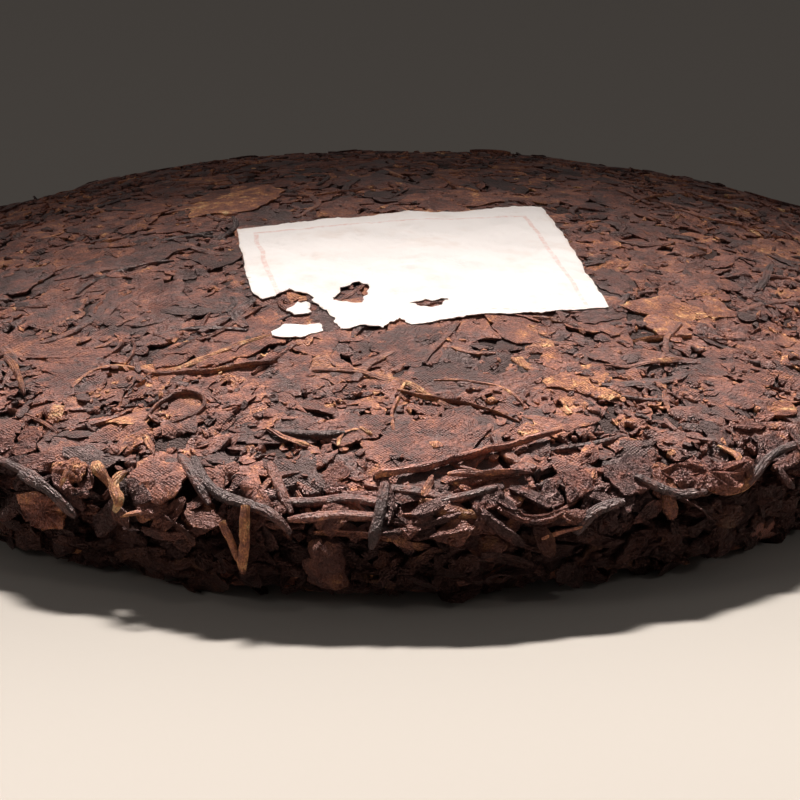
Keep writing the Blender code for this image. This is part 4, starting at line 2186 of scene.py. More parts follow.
    def lay_shoulder(self) -> None:
        """Lays flat leaves and strands round the shoulder, where the top bends down."""
        rng = self.maker.rng
        for _ in range(self.layered):
            centre = self.maker.lowest((self.begins - 4.0, self.begins + 9.0), 2.0, 4)
            # Painted shade, as on the rest of the rim, at six tenths of its depth.
            dye = self.dyes.dark(0.6 * self.deep(centre))
            if rng.random() < 0.30:
                form = StrandForm(
                    width=rng.uniform(0.7, 2.3),
                    thickness=rng.uniform(0.25, 0.6),
                    dye=dye,
                    ridges=int(rng.integers(2, 5)),
                    ridge=rng.uniform(0.04, 0.12),
                    lift=rng.uniform(0.1, 0.5),
                    lean=rng.normal(0.0, 0.25),
                    detail=1.3,
                    cap=0.6,
                    give=0.5,
                )
                length = rng.uniform(4.0, 13.0)
                path = self.maker.path(centre, self.direction(), length, rng.normal(0.0, 0.13))
                self.pile.add(Layer.RIM_STRANDS, self.maker.strand(path, form))
            else:
                length = rng.uniform(2.5, 8.0)
                form = FlakeForm(
                    length=length,
                    width=length * rng.uniform(0.4, 0.8),
                    dye=dye,
                    outline=Outline.LEAF if rng.random() < 0.4 else Outline.TORN,
                    lift=rng.uniform(0.3, 0.8),
                    tilt=(rng.normal(-0.04, 0.10), rng.normal(0.0, 0.14)),
                    crumple=rng.uniform(0.1, 0.4),
                    skirt=0.7,
                    detail=0.8,
                    cap=0.6,
                    give=0.5,
                )
                self.pile.add(
                    Layer.RIM_LEAVES, self.maker.flake(centre, self.direction(), form)
                )


@dataclass(frozen=True)
class Placed:
    """A leaf, strand, stem or bud that has a place of its own.

    Attributes:
        points: Places that it runs through, or its corners, in plan or in space, in mm.
        width: Its width, in mm.
        dye: Its colour.
        layer: The piece that it goes into.
        rise: How far it stands above what it lies on.
        flatness: Its thickness as a share of its width.
        ribs: Depth of the rings round it, as a share of its width.
        tapers: How narrow its two ends are, as shares of its width.
        relief: How deep its creases are.
    """

    points: tuple[tuple[float, ...], ...]
    width: float
    dye: Dye
    layer: Layer
    rise: float = 0.1
    flatness: float = 0.7
    ribs: float = 0.0
    tapers: tuple[float, float] = (0.5, 0.5)
    relief: float = 0.25


@dataclass(frozen=True)
class NearSide:
    """The stems, buds, strands and leaves that stand out on the near side.

    Attributes:
        maker: Makes and lays them.
        pile: Where they are kept.
    """

    maker: LeafMaker
    pile: Pile

    STEMS = (
        Placed(((-4, -88), (1, -87), (8, -84), (15, -81), (23, -77)), 1.3, Dye(0.50, 1.9, 0.7),
               Layer.STEMS, 0.5, 0.85, 0.04, (0.8, 0.5)),
        Placed(((6, -88), (12, -87.5), (18, -87)), 1.1, Dye(0.55, 0.95, 0.7), Layer.STEMS, 0.4),
        Placed(((-14, -59), (-9, -59), (-4, -61), (0, -62.5), (4, -67), (7, -71)), 0.9,
               Dye(0.66, 0.54, 0.3), Layer.STEMS, -0.15, 0.45),
        Placed(((-1, -65.5), (5, -68), (11, -69.5), (17, -74)), 0.9, Dye(0.67, 0.54, 0.3),
               Layer.STEMS, -0.15, 0.45),
        Placed(((-34, -54), (-27, -51), (-20, -46.5)), 1.1, Dye(0.76, 0.54, 0.3), Layer.STEMS,
               -0.05, 0.5),
        Placed(((-38, -54.5), (-29, -57), (-19, -56.5)), 1.0, Dye(0.62, 0.62, 0.4), Layer.STEMS,
               0.0, 0.5),
        Placed(((-24.8, -92, 12.5), (-23.5, -93, 10), (-22.6, -93, 8)), 1.1, Dye(0.68, 0.66, 0.3),
               Layer.STEMS, 0.8, 0.8, 0.05, (0.8, 0.8)),
        Placed(((-21.5, -92, 14), (-21.6, -94, 10), (-22.2, -93, 6.2)), 1.6, Dye(0.74, 0.62, 0.3),
               Layer.STEMS, 0.9, 0.8, 0.05, (0.8, 0.9)),
        Placed(((-37, -69.5), (-35.5, -65), (-32, -62.5), (-28.5, -64.5), (-29.5, -69), (-34, -71)),
               0.9, Dye(0.46, 0.55, 0.4), Layer.STEMS, 0.0, 0.6),
        Placed(((19, -94, 11), (24.5, -92, 11.5)), 0.9, Dye(0.66, 0.8, 0.4), Layer.STEMS, 0.7),
        Placed(((-39, -72), (-39.4, -74), (-40.2, -77)), 1.0, Dye(0.68, 0.56, 0.4), Layer.STEMS,
               -0.1, 0.3, 0.0, (0.2, 0.2)),
        Placed(((-37, -73), (-36, -75.6), (-35, -79)), 1.0, Dye(0.66, 0.56, 0.4), Layer.STEMS,
               -0.1, 0.3, 0.0, (0.2, 0.2)),
        Placed(((-48, -83, 16), (-46, -80, 17)), 0.9, Dye(0.66, 0.66, 0.4), Layer.STEMS, 0.5, 0.6),
        Placed(((-39, -88.6, 13.4), (-36, -88.8, 14.2)), 0.8, Dye(0.68, 0.66, 0.4), Layer.STEMS,
               0.6, 0.6),
        Placed(((4, -88), (3.4, -89.8), (2.6, -91.6)), 1.2, Dye(0.60, 0.66, 0.3), Layer.STEMS, 0.5,
               0.5),
        Placed(((-20, -75), (-17, -78), (-13.5, -80)), 0.8, Dye(0.72, 0.6, 0.4), Layer.STEMS, 0.2),
        Placed(((44, -52), (38, -55), (31, -56)), 0.9, Dye(0.70, 0.54, 0.4), Layer.STEMS, 0.0, 0.5),
        Placed(((-60, -44), (-57, -50), (-55, -57)), 1.2, Dye(0.76, 0.5, 0.4), Layer.STEMS, 0.0, 0.5),
    )
    BUDS = (
        Placed(((-43.2, -79.6, 17), (-42, -82, 17), (-40.2, -85, 16)), 1.5, Dye(0.82, 0.60, 0.4),
               Layer.BUDS, 0.3, 0.5, 0.04, (0.2, 0.3)),
        Placed(((-38.6, -82.8, 17), (-40, -84, 16.3), (-40, -85.4, 15.6), (-38.8, -87, 15),
                (-39.8, -87.6, 13.6)), 1.5, Dye(0.83, 0.60, 0.4), Layer.BUDS, 0.5, 0.5, 0.04,
               (0.3, 0.5)),
        Placed(((-9.4, -79.8), (-9.4, -78), (-8, -76.2), (-6.2, -76)), 0.6, Dye(0.76, 0.62, 0.3),
               Layer.BUDS, 0.1, 0.45, 0.06),
        Placed(((-6.4, -75.8), (-4.6, -77.9)), 0.6, Dye(0.76, 0.60, 0.3), Layer.BUDS, 0.1, 0.45),
        Placed(((46, -77), (49, -78), (48.5, -80)), 1.1, Dye(0.80, 0.58, 0.4), Layer.BUDS, 0.3, 0.5),
    )
    STRANDS = (
        Placed(((-29.5, -81), (-28.5, -86), (-26, -89.5, 15.5), (-23, -91.5, 15), (-18, -93, 14.5),
                (-15.5, -95, 12.5)), 1.6, Dye(0.20, 0.48, 0.8), Layer.TOP_STRANDS, 0.5, 0.3),
        Placed(((-31.5, -79.5), (-29.5, -85), (-27, -90.5, 14.5)), 1.4, Dye(0.24, 0.56, 0.7),
               Layer.TOP_STRANDS, 0.3, 0.3),
        Placed(((-19, -84), (-17.5, -89), (-15.5, -93, 14.5)), 1.6, Dye(0.40, 0.52, 0.6),
               Layer.TOP_STRANDS, 0.4, 0.3),
        Placed(((-17, -92, 16), (-13, -91.5), (-9, -91), (-5, -91.5), (-1, -92.5, 15.5)), 1.6,
               Dye(0.30, 0.62, 1.0), Layer.TOP_STRANDS, 0.45, 0.3),
        Placed(((-16, -93.5, 14), (-9, -93, 14.5), (-2, -93.5, 14)), 1.5, Dye(0.42, 0.62, 0.9),
               Layer.TOP_STRANDS, 0.45, 0.3),
        Placed(((-2.5, -88), (-3, -92.5), (-4.5, -96, 11)), 1.6, Dye(0.20, 0.5, 0.6),
               Layer.TOP_STRANDS, 0.6, 0.3),
        Placed(((4, -92, 16), (9, -91.5, 16), (13, -90)), 1.4, Dye(0.24, 0.52, 0.9),
               Layer.TOP_STRANDS, 0.4, 0.3),
        Placed(((-53, -78, 16.4), (-49, -82.5, 15.8), (-46, -86, 12.5)), 1.3, Dye(0.20, 0.46, 0.8),
               Layer.TOP_STRANDS, 1.1, 0.3),
        Placed(((-59, -71, 16.6), (-54, -76, 17), (-50, -80.6, 16.4)), 1.2, Dye(0.26, 0.46, 0.8),
               Layer.TOP_STRANDS, 0.3, 0.3),
        Placed(((-18, -76), (-13, -77.5), (-8.5, -77)), 1.5, Dye(0.16, 0.46, 0.7),
               Layer.TOP_STRANDS, 0.35, 0.3),
        Placed(((24, -93, 11), (26, -91.5, 13.5), (31, -90, 14)), 1.7, Dye(0.2, 0.5, 0.8),
               Layer.TOP_STRANDS, 0.5, 0.3),
        Placed(((33, -86), (38, -87, 13), (43, -85, 13)), 1.5, Dye(0.2, 0.5, 0.8),
               Layer.TOP_STRANDS, 0.4, 0.3),
        Placed(((60, -72), (54, -76), (50, -82, 13)), 1.4, Dye(0.2, 0.5, 0.8),
               Layer.TOP_STRANDS, 0.4, 0.3),
    )
    LEAVES = (
        Placed(((-49, -78, 17), (-46, -77, 18), (-44, -80, 17), (-44.4, -82, 16), (-48, -82, 16)),
               0.0, Dye(0.72, 0.58, 0.3), Layer.RIM_LEAVES, 0.4, relief=0.6),
        Placed(((-38.4, -82), (-34, -80.6), (-29, -84), (-31.5, -88, 15.4), (-34, -89, 15),
                (-37, -85.5)), 0.0, Dye(0.50, 0.60, 0.3), Layer.TOP_COVER, 0.5, relief=0.12),
        Placed(((-28, -84), (-25, -86), (-25, -89, 15), (-27, -88, 16)), 0.0,
               Dye(0.46, 0.60, 0.3), Layer.TOP_COVER, 0.5, relief=0.2),
        Placed(((-38.8, -83.4, 16.6), (-36, -84.4, 16), (-34.6, -87.6, 15), (-37.4, -88.4, 14.4)),
               0.0, Dye(0.10, 0.50, 0.8), Layer.RIM_LEAVES, 0.2, relief=0.3),
        Placed(((-23, -89, 16), (-21, -86, 18), (-19.6, -90, 17), (-18, -93, 15), (-21, -92, 15)),
               0.0, Dye(0.44, 0.60, 0.4), Layer.TOP_COVER, 0.6, relief=0.3),
        Placed(((27.6, -85, 16), (33, -82, 17), (35.4, -83, 16), (35, -87, 14), (31, -89, 14)),
               0.0, Dye(0.24, 0.64, 0.5), Layer.RIM_LEAVES, 0.7, relief=0.35),
        Placed(((22, -86, 17), (26, -85, 16), (27, -89, 15), (23, -91, 14)), 0.0,
               Dye(0.28, 0.62, 0.5), Layer.RIM_LEAVES, 0.6, relief=0.3),
        Placed(((9, -91, 16), (13, -89, 16), (14, -92, 15), (10, -94, 14)), 0.0,
               Dye(0.30, 0.60, 0.6), Layer.RIM_LEAVES, 0.7, relief=0.4),
        Placed(((-3.5, -78), (1, -74.5), (8, -72.5), (13, -76), (9.5, -81.5), (2, -84.5), (-2, -82.5)),
               0.0, Dye(0.37, 0.54, 0.3), Layer.TOP_COVER, 0.3, relief=0.10),
        Placed(((-14, -76), (-8, -71.5), (-1.5, -73), (-4, -78), (-9, -80)), 0.0,
               Dye(0.34, 0.54, 0.3), Layer.TOP_COVER, 0.25, relief=0.10),
        Placed(((25, -82.5), (28.5, -81), (27, -77.5)), 0.0, Dye(0.66, 0.60, 0.3),
               Layer.TOP_COVER, 0.3),
        Placed(((36.6, -84, 15), (42, -80.6, 16.4), (50, -79.4, 14.4), (48.4, -82, 12), (40, -85.4, 13)),
               0.0, Dye(0.38, 0.66, 0.6), Layer.RIM_LEAVES, 0.9, relief=0.6),
        Placed(((25.5, -61), (33.5, -65), (31, -67), (25, -64)), 0.0, Dye(0.75, 0.52, 0.2),
               Layer.TOP_COVER, 0.12, relief=0.08),
        Placed(((-54.5, -80, 15), (-50, -82, 15), (-47.6, -84, 14), (-47.6, -85.4, 10),
                (-53, -83, 9.6)), 0.0, Dye(0.68, 0.66, 0.5), Layer.RIM_LEAVES, 1.3, relief=0.3),
        Placed(((-30, 42), (-22, 30), (-26, 14), (-38, 10), (-42, 26)), 0.0, Dye(0.70, 0.54, 0.2),
               Layer.TOP_COVER, 0.12, relief=0.10),
        Placed(((34, -34), (45, -38), (52, -33), (44, -28)), 0.0, Dye(0.70, 0.50, 0.2),
               Layer.TOP_COVER, 0.12, relief=0.10),
    )
    FLECKS = (
        Placed(((16, -55), (18.2, -54.6), (21, -58.4), (19.6, -59.4)), 0.0, Dye(0.75, 0.56, 0.3),
               Layer.BUDS, 0.15),
        Placed(((3.2, -79.6), (4.8, -79.8), (5.7, -81.1), (4.2, -81.3)), 0.0,
               Dye(0.72, 0.64, 0.3), Layer.BUDS, 0.2),
        Placed(((30.6, -71.6), (32.6, -71.2), (33.8, -72.6), (31.8, -73.1)), 0.0,
               Dye(0.74, 0.62, 0.3), Layer.BUDS, 0.15),
        Placed(((35.8, -73), (37.4, -72.5), (39.5, -74.3), (37.8, -74.9)), 0.0,
               Dye(0.72, 0.60, 0.3), Layer.BUDS, 0.15),
    )

    def lay(self) -> None:
        """Lays all of them, the lowest first."""
        for placed in self.LEAVES:
            corners = self.maker.face.under_points(placed.points)
            self.pile.add(placed.layer, self.maker.patch(corners, self.leaf_form(placed)))
        for placed in self.STRANDS:
            form = StrandForm(
                placed.width, 0.45, placed.dye, ridge=0.10, tapers=placed.tapers,
                lift=placed.rise - 0.35, lean=-0.1, skirt=0.7, detail=0.7, cap=1.5, give=0.5,
            )
            self.pile.add(placed.layer, self.maker.strand(self.way(placed), form))
        self.lay_folded_leaf()
        for placed in self.FLECKS:
            corners = self.maker.face.under_points(placed.points)
            self.pile.add(placed.layer, self.maker.patch(corners, self.leaf_form(placed)))
        for placed in (*self.STEMS, *self.BUDS):
            form = RollForm(
                placed.width, placed.dye, placed.flatness, 0.15, 0.15, 0.12, placed.tapers,
                placed.rise, ribs=placed.ribs, sides=10, detail=0.4 if placed.ribs else 0.8,
            )
            self.pile.add(placed.layer, self.maker.roll(self.way(placed), form))

    def leaf_form(self, placed: Placed) -> FlakeForm:
        """Sizes of a leaf whose corners are given."""
        return FlakeForm(
            length=1.0,
            width=1.0,
            dye=placed.dye,
            lift=placed.rise,
            tilt=(-0.03, 0.0),
            crumple=placed.relief,
            crease=2.2,
            flex=2.0,
            detail=0.7,
            ragged=0.05,
            cap=placed.rise + 0.5,
        )

    def way(self, placed: Placed) -> Array:
        """The flat places that a strand runs through, its corners rounded."""
        line = self.maker.face.under_points(placed.points)
        for _ in range(3):
            near = line[:-1] * 0.75 + line[1:] * 0.25
            far = line[:-1] * 0.25 + line[1:] * 0.75
            cut = np.stack([near, far], axis=1).reshape(-1, 2)
            line = np.concatenate([line[:1], cut, line[-1:]])
        return line

    def lay_folded_leaf(self) -> None:
        """Lays the round leaf that is folded into a shell low on the side."""
        centre = self.maker.face.under_point((-11.0, -96.0, 8.0))
        dye = Dye(0.52, 0.30, 0.0)
        for offset, tip, size in ((0.0, 0.25, 8.4), (1.2, -0.35, 7.0)):
            form = SheetForm(
                length=size,
                width=size * 0.95,
                dye=dye,
                roll=-0.42,
                bend=0.20,
                twist=0.3,
                tip=tip,
                crumple=0.5,
                rise=1.5 - 0.4 * offset,
                pointed=0.85,
                rows=(15, 12),
            )
            place = centre + np.array([0.0, -offset])
            self.pile.add(Layer.RIM_CURLED, self.maker.sheet(place, 0.0, form))


@dataclass(frozen=True)
class QuietUnderside:
    """The flat ring that the cake lies on, and the hollow that the bag's knot left.

    Attributes:
        maker: Makes and lays the leaves.
        dyes: Their colours.
        pile: Where they are kept.
        reach: How far out from the middle they are laid, in mm.
        broad: How many large leaf pieces there are.
        small: How many smaller ones.
        strands: How many strands.
    """

    maker: LeafMaker
    dyes: LeafDyes
    pile: Pile
    reach: float = 97.0
    broad: int = 420
    small: int = 300
    strands: int = 130

    def lay(self) -> None:
        """Lays all of the leaves."""
        rng = self.maker.rng
        for index in range(self.broad + self.small):
            large = index < self.broad
            length = rng.uniform(8.0, 17.0) if large else rng.uniform(3.0, 8.0)
            form = FlakeForm(
                length=length,
                width=length * rng.uniform(0.45, 0.85),
                dye=self.dyes.leaf(),
                outline=Outline.LEAF if rng.random() < 0.35 else Outline.TORN,
                lift=rng.uniform(0.4, 0.75) if large else rng.uniform(0.3, 0.55),
                tilt=(rng.normal(0.0, 0.03), rng.normal(0.0, 0.04)),
                crumple=rng.uniform(0.08, 0.25),
                skirt=0.6,
                detail=2.4 if large else 1.6,
                cap=0.0,
            )
            centre = self.maker.lowest((0.0, self.reach), 3.5 if large else 1.8, 6)
            turn = rng.uniform(0.0, TAU)
            self.pile.add(Layer.UNDER_LEAVES, self.maker.flake(centre, turn, form))
            if index % (1 + (self.broad + self.small) // self.strands) == 0:
                self.lay_strand()

    def lay_strand(self) -> None:
        """Lays one strand."""
        rng = self.maker.rng
        form = StrandForm(
            width=rng.uniform(1.0, 2.6),
            thickness=rng.uniform(0.15, 0.4),
            dye=self.dyes.strand() if rng.random() < 0.7 else self.dyes.stem(),
            lift=rng.uniform(0.05, 0.2),
            detail=2.2,
            cap=0.1,
        )
        centre = self.maker.lowest((0.0, self.reach), 2.5, 3)
        path = self.maker.path(
            centre, rng.uniform(0.0, TAU), rng.uniform(7.0, 24.0), rng.normal(0.0, 0.09)
        )
        self.pile.add(Layer.UNDER_STRANDS, self.maker.strand(path, form))


# ---------------------------------------------------------------------------
# The paper
# ---------------------------------------------------------------------------


@dataclass(frozen=True)
class PaperTicket:
    """The torn paper ticket and its two scraps, pressed onto the leaves.

    Outlines are in shares of the ticket's half sizes, in its own frame: X along its long
    side and Y away from the torn corner.

    Attributes:
        maker: Knows the pile that the paper lies on.
        centre: The ticket's middle in plan, in mm.
        turn: Its turn, in degrees.
        half: Half of its length and width, in mm.
        thickness: Thickness of the paper.
        cell: Distance between its points.
    """

    maker: LeafMaker
    centre: tuple[float, float] = (2.2, -18.9)
    turn: float = 11.4
    half: tuple[float, float] = (27.5, 25.5)
    thickness: float = 0.14
    cell: float = 0.75

    OUTLINE = (
        (0.99, -0.88),
        (1.04, 1.13),
        (-0.97, 1.01),
        (-1.00, -0.24),
        (-0.96, -0.34),
        (-0.89, -0.34),
        (-0.80, -0.26),
        (-0.71, -0.38),
        (-0.66, -0.68),
        (-0.63, -0.96),
        (-0.46, -0.95),
        (-0.39, -1.00),
        (-0.27, -0.86),
        (-0.22, -0.97),
    )
    WORN_HOLE = ((-0.18, -0.64), (-0.07, -0.61), (0.06, -0.67), (-0.06, -0.75))
    TORN_HOLE = (
        (-0.60, -0.50),
        (-0.52, -0.31),
        (-0.40, -0.26),
        (-0.36, -0.38),
        (-0.44, -0.58),
        (-0.53, -0.57),
    )
    NEAR_SCRAP = (
        (-1.00, -0.86),
        (-0.91, -0.78),
        (-0.73, -0.84),
        (-0.73, -0.96),
        (-0.86, -1.00),
        (-0.98, -0.95),
    )
    SIDE_SCRAP = (
        (-0.87, -0.57),
        (-0.79, -0.47),
        (-0.73, -0.50),
        (-0.76, -0.66),
        (-0.84, -0.66),
    )

    def build(self, paper: bpy.types.Material) -> None:
        """Makes the ticket and its scraps.

        Args:
            paper: Their finish.
        """
        parts = (
            ("ticket_sheet", "paper_ticket", self.OUTLINE, (self.WORN_HOLE, self.TORN_HOLE)),
            ("scrap_by_the_tear", "paper_scrap_near", self.NEAR_SCRAP, ()),
            ("scrap_at_the_side", "paper_scrap_side", self.SIDE_SCRAP, ()),
        )
        for name, node, outline, holes in parts:
            shape = self.sheet(outline, holes)
            Piece(name, paper, "ticket_paper", node, 40.0).build([shape])

    def ragged(self, outline: Sequence[tuple[float, float]], seed: int) -> Array:
        """An outline in mm whose torn sides wander.

        Args:
            outline: Its corners, in shares of the half sizes.
            seed: Which wander it has.

        Returns:
            Points along it, evenly spaced.
        """
        corners = np.array(outline) * self.half
        ripple = Ripple(seed)
        points = []
        for start, end in zip(corners, np.roll(corners, -1, axis=0)):
            side = end - start
            length = float(np.hypot(*side))
            across = np.array([-side[1], side[0]]) / length
            cut = length > 20.0
            depth = 0.16 if cut else 0.42
            scale = 2.6 if cut else 1.1
            count = max(1, int(length / 0.6))
            share = np.arange(count) / count
            at = share * length / scale + 7.0 * len(points)
            wander = ripple.rough(at, np.zeros(count), 3) * depth
            wander *= np.minimum(1.0, 3.0 * np.minimum(share, 1.0 - share) + 0.25)
            points.append(start + share[:, None] * side + wander[:, None] * across)
        return np.concatenate(points)

    def sheet(
        self,
        outline: Sequence[tuple[float, float]],
        holes: Sequence[Sequence[tuple[float, float]]],
    ) -> Shape:
        """One closed piece of the paper.

        Args:
            outline: Its outline, in shares of the half sizes.
            holes: Outlines of the holes in it.

        Returns:
            The shape.
        """
        border = self.ragged(outline, 11)
        rims = [self.ragged(hole, 12) for hole in holes]
        low, high = border.min(axis=0), border.max(axis=0)
        axes = [np.arange(a + 0.3, b, self.cell) for a, b in zip(low, high)]
        lattice = np.stack(np.meshgrid(*axes, indexing="ij"), axis=2).reshape(-1, 2)
        lattice = lattice + np.random.default_rng(5).uniform(-0.15, 0.15, lattice.shape)
        inside = self.within(lattice, border)
        for rim in rims:
            inside &= ~self.within(lattice, rim)
        places = [Vector(point) for point in np.concatenate([border, *rims, lattice[inside]])]
        loops, start = [], 0
        for rim in [border, *rims]:
            loops.append([(start + k, start + (k + 1) % len(rim)) for k in range(len(rim))])
            start += len(rim)
        edges = [edge for loop in loops for edge in loop]
        made = geometry.delaunay_2d_cdt(places, edges, [], 0, 1e-6)
        points = np.array([tuple(place) for place in made[0]])
        triangles = np.array([face for face in made[2] if len(face) == 3])
        middles = points[triangles].mean(axis=1)
        kept = self.within(middles, border)
        for rim in rims:
            kept &= ~self.within(middles, rim)
        triangles = triangles[kept]
        first, second, third = (points[triangles[:, k]] for k in range(3))
        turn = np.cross(second - first, third - first)
        triangles = np.where(turn[:, None] < 0.0, triangles[:, ::-1], triangles)
        return self.closed(points, triangles)

    def closed(self, points: Array, triangles: Array) -> Shape:
        """A thin closed sheet over flat triangles, laid on the pile.

        Args:
            points: The flat points, in the ticket's frame.
            triangles: Its triangles.

        Returns:
            The shape.
        """
        plan = self.in_plan(points)
        flat = self.maker.face.under_points(plan)
        rest = self.maker.relief.support(flat, 2.6, 0.8)
        fine = self.maker.relief.support(flat, 0.7, 1.0)
        level = np.maximum(rest, fine) + 0.16
        level = level + 0.10 * self.maker.ripple.rough(points[:, 0] / 5.0, points[:, 1] / 5.0, 2)
        sides: dict[tuple[int, int], int] = {}
        for a, b, c in triangles:
            for pair in ((a, b), (b, c), (c, a)):
                sides[pair] = sides.get(pair, 0) + 1
        open_sides = [pair for pair in sides if (pair[1], pair[0]) not in sides]
        on_edge = np.zeros(len(points))
        on_edge[[a for a, _ in open_sides]] = 1.0
        self.maker.relief.stamp(flat, level)
        count = len(points)
        walls = []
        for a, b in open_sides:
            walls.append((a, a + count, b + count))
            walls.append((a, b + count, b))
        upper = self.maker.face.place(flat, level)
        lower = self.maker.face.place(flat, level - self.thickness)
        tone = Dye(0.5, 0.5, 0.5).tone(2 * count, np.tile(on_edge, 2))
        grain = np.column_stack([np.tile(points / self.half, (2, 1)), np.zeros(2 * count)])
        return Shape(
            np.concatenate([upper, lower]),
            np.concatenate([triangles, triangles[:, ::-1] + count, np.array(walls)]),
            tone,
            grain,
        )

    def in_plan(self, points: Array) -> Array:
        """Places in the cake's plan of points in the ticket's frame."""
        angle = math.radians(self.turn)
        x = points[:, 0] * math.cos(angle) - points[:, 1] * math.sin(angle)
        y = points[:, 0] * math.sin(angle) + points[:, 1] * math.cos(angle)
        return np.stack([x + self.centre[0], y + self.centre[1]], axis=1)

    def within(self, points: Array, border: Array) -> Array:
        """Which points lie inside an outline."""
        inside = np.zeros(len(points), bool)
        x, y = points[:, 0], points[:, 1]
        for (ax, ay), (bx, by) in zip(border, np.roll(border, -1, axis=0)):
            crosses = (ay > y) != (by > y)
            rise = by - ay if abs(by - ay) > 1e-12 else 1e-12
            inside ^= crosses & (x < ax + (y - ay) / rise * (bx - ax))
        return inside


# ---------------------------------------------------------------------------
# Studio
# ---------------------------------------------------------------------------


@dataclass(frozen=True)
class Studio:
    """A pale floor, soft light from behind and above, and the camera.

    Attributes:
        floor_size: Side of the floor, in metres.
        floor_colour: Its linear colour.
        sky: Strength of the light from all round.
        key_place: Where the large soft light hangs.
        key_aim: What it is aimed at.
        key_size: Its length across and its depth.
        key_spread: How wide its grid lets it shine, in degrees.
        key_power: Its power, in watts.
        fill_place: Where the weak light for the near side stands.
        fill_size: Its length and its depth.
        fill_power: Its power, in watts.
        glint_place: Where the small light stands that picks out the right of the near side.
        glint_size: Its length and its depth.
        glint_power: Its power, in watts.
        camera_place: Where the camera stands.
        camera_pitch: How far it looks down, in degrees.
        camera_yaw: How far it looks to the right, in degrees.
        lens: Its focal length, in mm.
    """

    floor_size: float = 8.0
    floor_colour: tuple[float, float, float] = (0.36, 0.33, 0.30)
    sky: float = 0.11
    key_place: tuple[float, float, float] = (-0.06, 0.44, 0.78)
    key_aim: tuple[float, float, float] = (-0.005, -0.130, 0.02)
    key_size: tuple[float, float] = (0.46, 0.06)
    key_spread: float = 17.5
    key_power: float = 0.67
    fill_place: tuple[float, float, float] = (-0.68, -0.30, 0.36)
    fill_size: tuple[float, float] = (0.16, 0.16)
    fill_power: float = 0.45
    glint_place: tuple[float, float, float] = (0.52, -0.34, 0.42)
    glint_size: tuple[float, float] = (0.08, 0.08)
    glint_power: float = 0.22
    camera_place: tuple[float, float, float] = (0.0, -0.3816, 0.1432)
    camera_pitch: float = 21.165
    camera_yaw: float = -0.114
    lens: float = 103.31

    def build(self) -> None:
        """Makes everything that isn't the cake."""
        self.build_floor()
        self.build_lights()
        self.build_camera()

    def build_floor(self) -> None:
        """Makes the floor that the cake lies on."""
        half = self.floor_size / 2.0
        mesh = bpy.data.meshes.new("floor")
        corners = [(-half, -half, 0.0), (half, -half, 0.0), (half, half, 0.0), (-half, half, 0.0)]
        mesh.from_pydata(corners, [], [(0, 1, 2, 3)])
        material = bpy.data.materials.new("pale_floor")
        material.use_nodes = True
        shader = material.node_tree.nodes["Principled BSDF"]
        shader.inputs["Base Color"].default_value = (*self.floor_colour, 1.0)
        shader.inputs["Roughness"].default_value = 0.9
        shader.inputs["Specular IOR Level"].default_value = 0.2
        mesh.materials.append(material)
        floor = bpy.data.objects.new("floor", mesh)
        bpy.context.scene.collection.objects.link(floor)

    def build_lights(self) -> None:
        """Hangs the key light and fills the shadows softly."""
        key = self.soft_light("key", self.key_place, self.key_aim, self.key_size)
        key.energy = self.key_power
        key.spread = math.radians(self.key_spread)
        fill = self.soft_light("fill", self.fill_place, (0.0, -0.05, 0.01), self.fill_size)
        fill.energy = self.fill_power
        glint = self.soft_light("glint", self.glint_place, (0.0, -0.09, 0.01), self.glint_size)
        glint.energy = self.glint_power
        world = bpy.data.worlds.new("studio")
        world.use_nodes = True
        sky = world.node_tree.nodes["Background"]
        sky.inputs["Color"].default_value = (1.0, 0.95, 0.92, 1.0)
        sky.inputs["Strength"].default_value = self.sky
        bpy.context.scene.world = world

    def soft_light(
        self,
        name: str,
        place: Sequence[float],
        target: Sequence[float],
        size: tuple[float, float],
    ) -> bpy.types.AreaLight:
        """Hangs one rectangular light.

        Args:
            name: Its name.
            place: Where it hangs, in metres.
            target: What it is aimed at.
            size: Its length and its depth.

        Returns:
            The light.
        """
        lamp = bpy.data.lights.new(name, "AREA")
        lamp.shape = "RECTANGLE"
        lamp.size, lamp.size_y = size
        lamp.color = (1.0, 0.95, 0.90)
        holder = bpy.data.objects.new(name, lamp)
        holder.location = place
        aim = Vector(target) - Vector(place)
        holder.rotation_euler = aim.to_track_quat("-Z", "Y").to_euler()
        bpy.context.scene.collection.objects.link(holder)
        return lamp

    def build_camera(self) -> None:
        """Stands the camera in front of the cake, low over the floor."""
        lens = bpy.data.cameras.new("camera")
        lens.lens = self.lens
        lens.sensor_width = 36.0
        lens.clip_start = 0.01
        lens.clip_end = 20.0
        camera = bpy.data.objects.new("camera", lens)
        camera.location = self.camera_place
        camera.rotation_euler = (
            math.radians(90.0 - self.camera_pitch),
            0.0,
            math.radians(-self.camera_yaw),
        )
        bpy.context.scene.collection.objects.link(camera)
        bpy.context.scene.camera = camera
        bpy.context.scene.view_settings.view_transform = "Standard"


# ---------------------------------------------------------------------------
# The whole
# ---------------------------------------------------------------------------


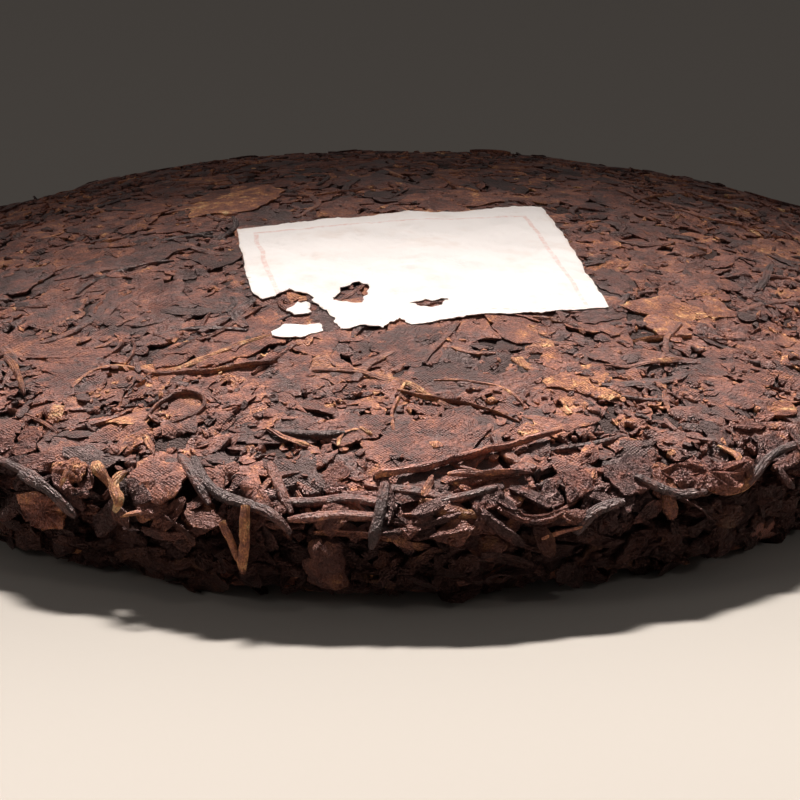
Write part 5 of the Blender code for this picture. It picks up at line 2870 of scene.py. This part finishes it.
def main() -> None:
    """Builds the cake and the studio round it."""
    logging.basicConfig(level=logging.INFO, format="%(message)s")
    upper, under = CakeSurface(bpy.data.objects["tea_cake"]).faces()
    beds = (
        CoreBed(1.05, 3.6, 86.0, 100.0, 0.3, Ripple(3)),
        CoreBed(1.5, 3.6, 84.0, 96.0, 0.4, Ripple(4)),
    )
    effects = Effects()
    leaf = TeaFinish("pressed_leaf", brightness=1.2).material(effects)
    crisp = TeaFinish(
        "rim_leaf", dullness=0.60, weave=0.0, wrinkles=1.1, fibres=0.5, grit=1.0, depth=0.0007,
        reflection=(1.0, 0.52, 0.46),
    ).material(effects)
    stem = TeaFinish("stem", weave=0.0, wrinkles=0.3, fibres=1.2).material(effects)
    strand = TeaFinish(
        "dark_strand", brightness=1.15, weave=0.0, wrinkles=0.7, fibres=0.7,
        reflection=(0.95, 0.70, 0.66),
    ).material(effects)
    # The core's colours are taken down to 0.3: painted shade for the gaps between leaves, where it
    # shows.
    crumbs = TeaFinish("crumbled_core", brightness=0.3, wrinkles=0.6, grit=1.4, depth=0.0005)
    core = CakeCore(upper, under, beds)
    core.build(Piece("crumbled_core", crumbs.material(effects), "pressed_tea", "tea_cake"))

    pile = Pile()
    maker = LeafMaker(upper, Relief(upper, beds[0].level), 21)
    dyes = LeafDyes(5)
    rim = LumpyRim(maker, dyes, pile)
    rim.lay()
    PressedTop(maker, dyes, pile).lay()
    rim.lay_shoulder()
    NearSide(maker, pile).lay()
    PaperTicket(maker).build(PaperFinish("ticket_paper").material())

    below = LeafMaker(under, Relief(under, beds[1].level), 31)
    QuietUnderside(below, dyes, pile).lay()

    finishes = {
        Layer.RIM_BED: crisp,
        Layer.RIM_LEAVES: crisp,
        Layer.RIM_CURLED: crisp,
        Layer.RIM_ROLLS: crisp,
        Layer.RIM_STRANDS: crisp,
        Layer.TOP_STRANDS: strand,
        Layer.UNDER_STRANDS: strand,
        Layer.STEMS: stem,
        Layer.BUDS: stem,
    }
    pile.drop_hidden()
    for layer, shapes in pile.shapes.items():
        if shapes:
            finish = finishes.get(layer, leaf)
            Piece(layer.value, finish, "pressed_tea", "tea_cake").build(shapes)
    Studio().build()


if __name__ == "__main__":
    main()
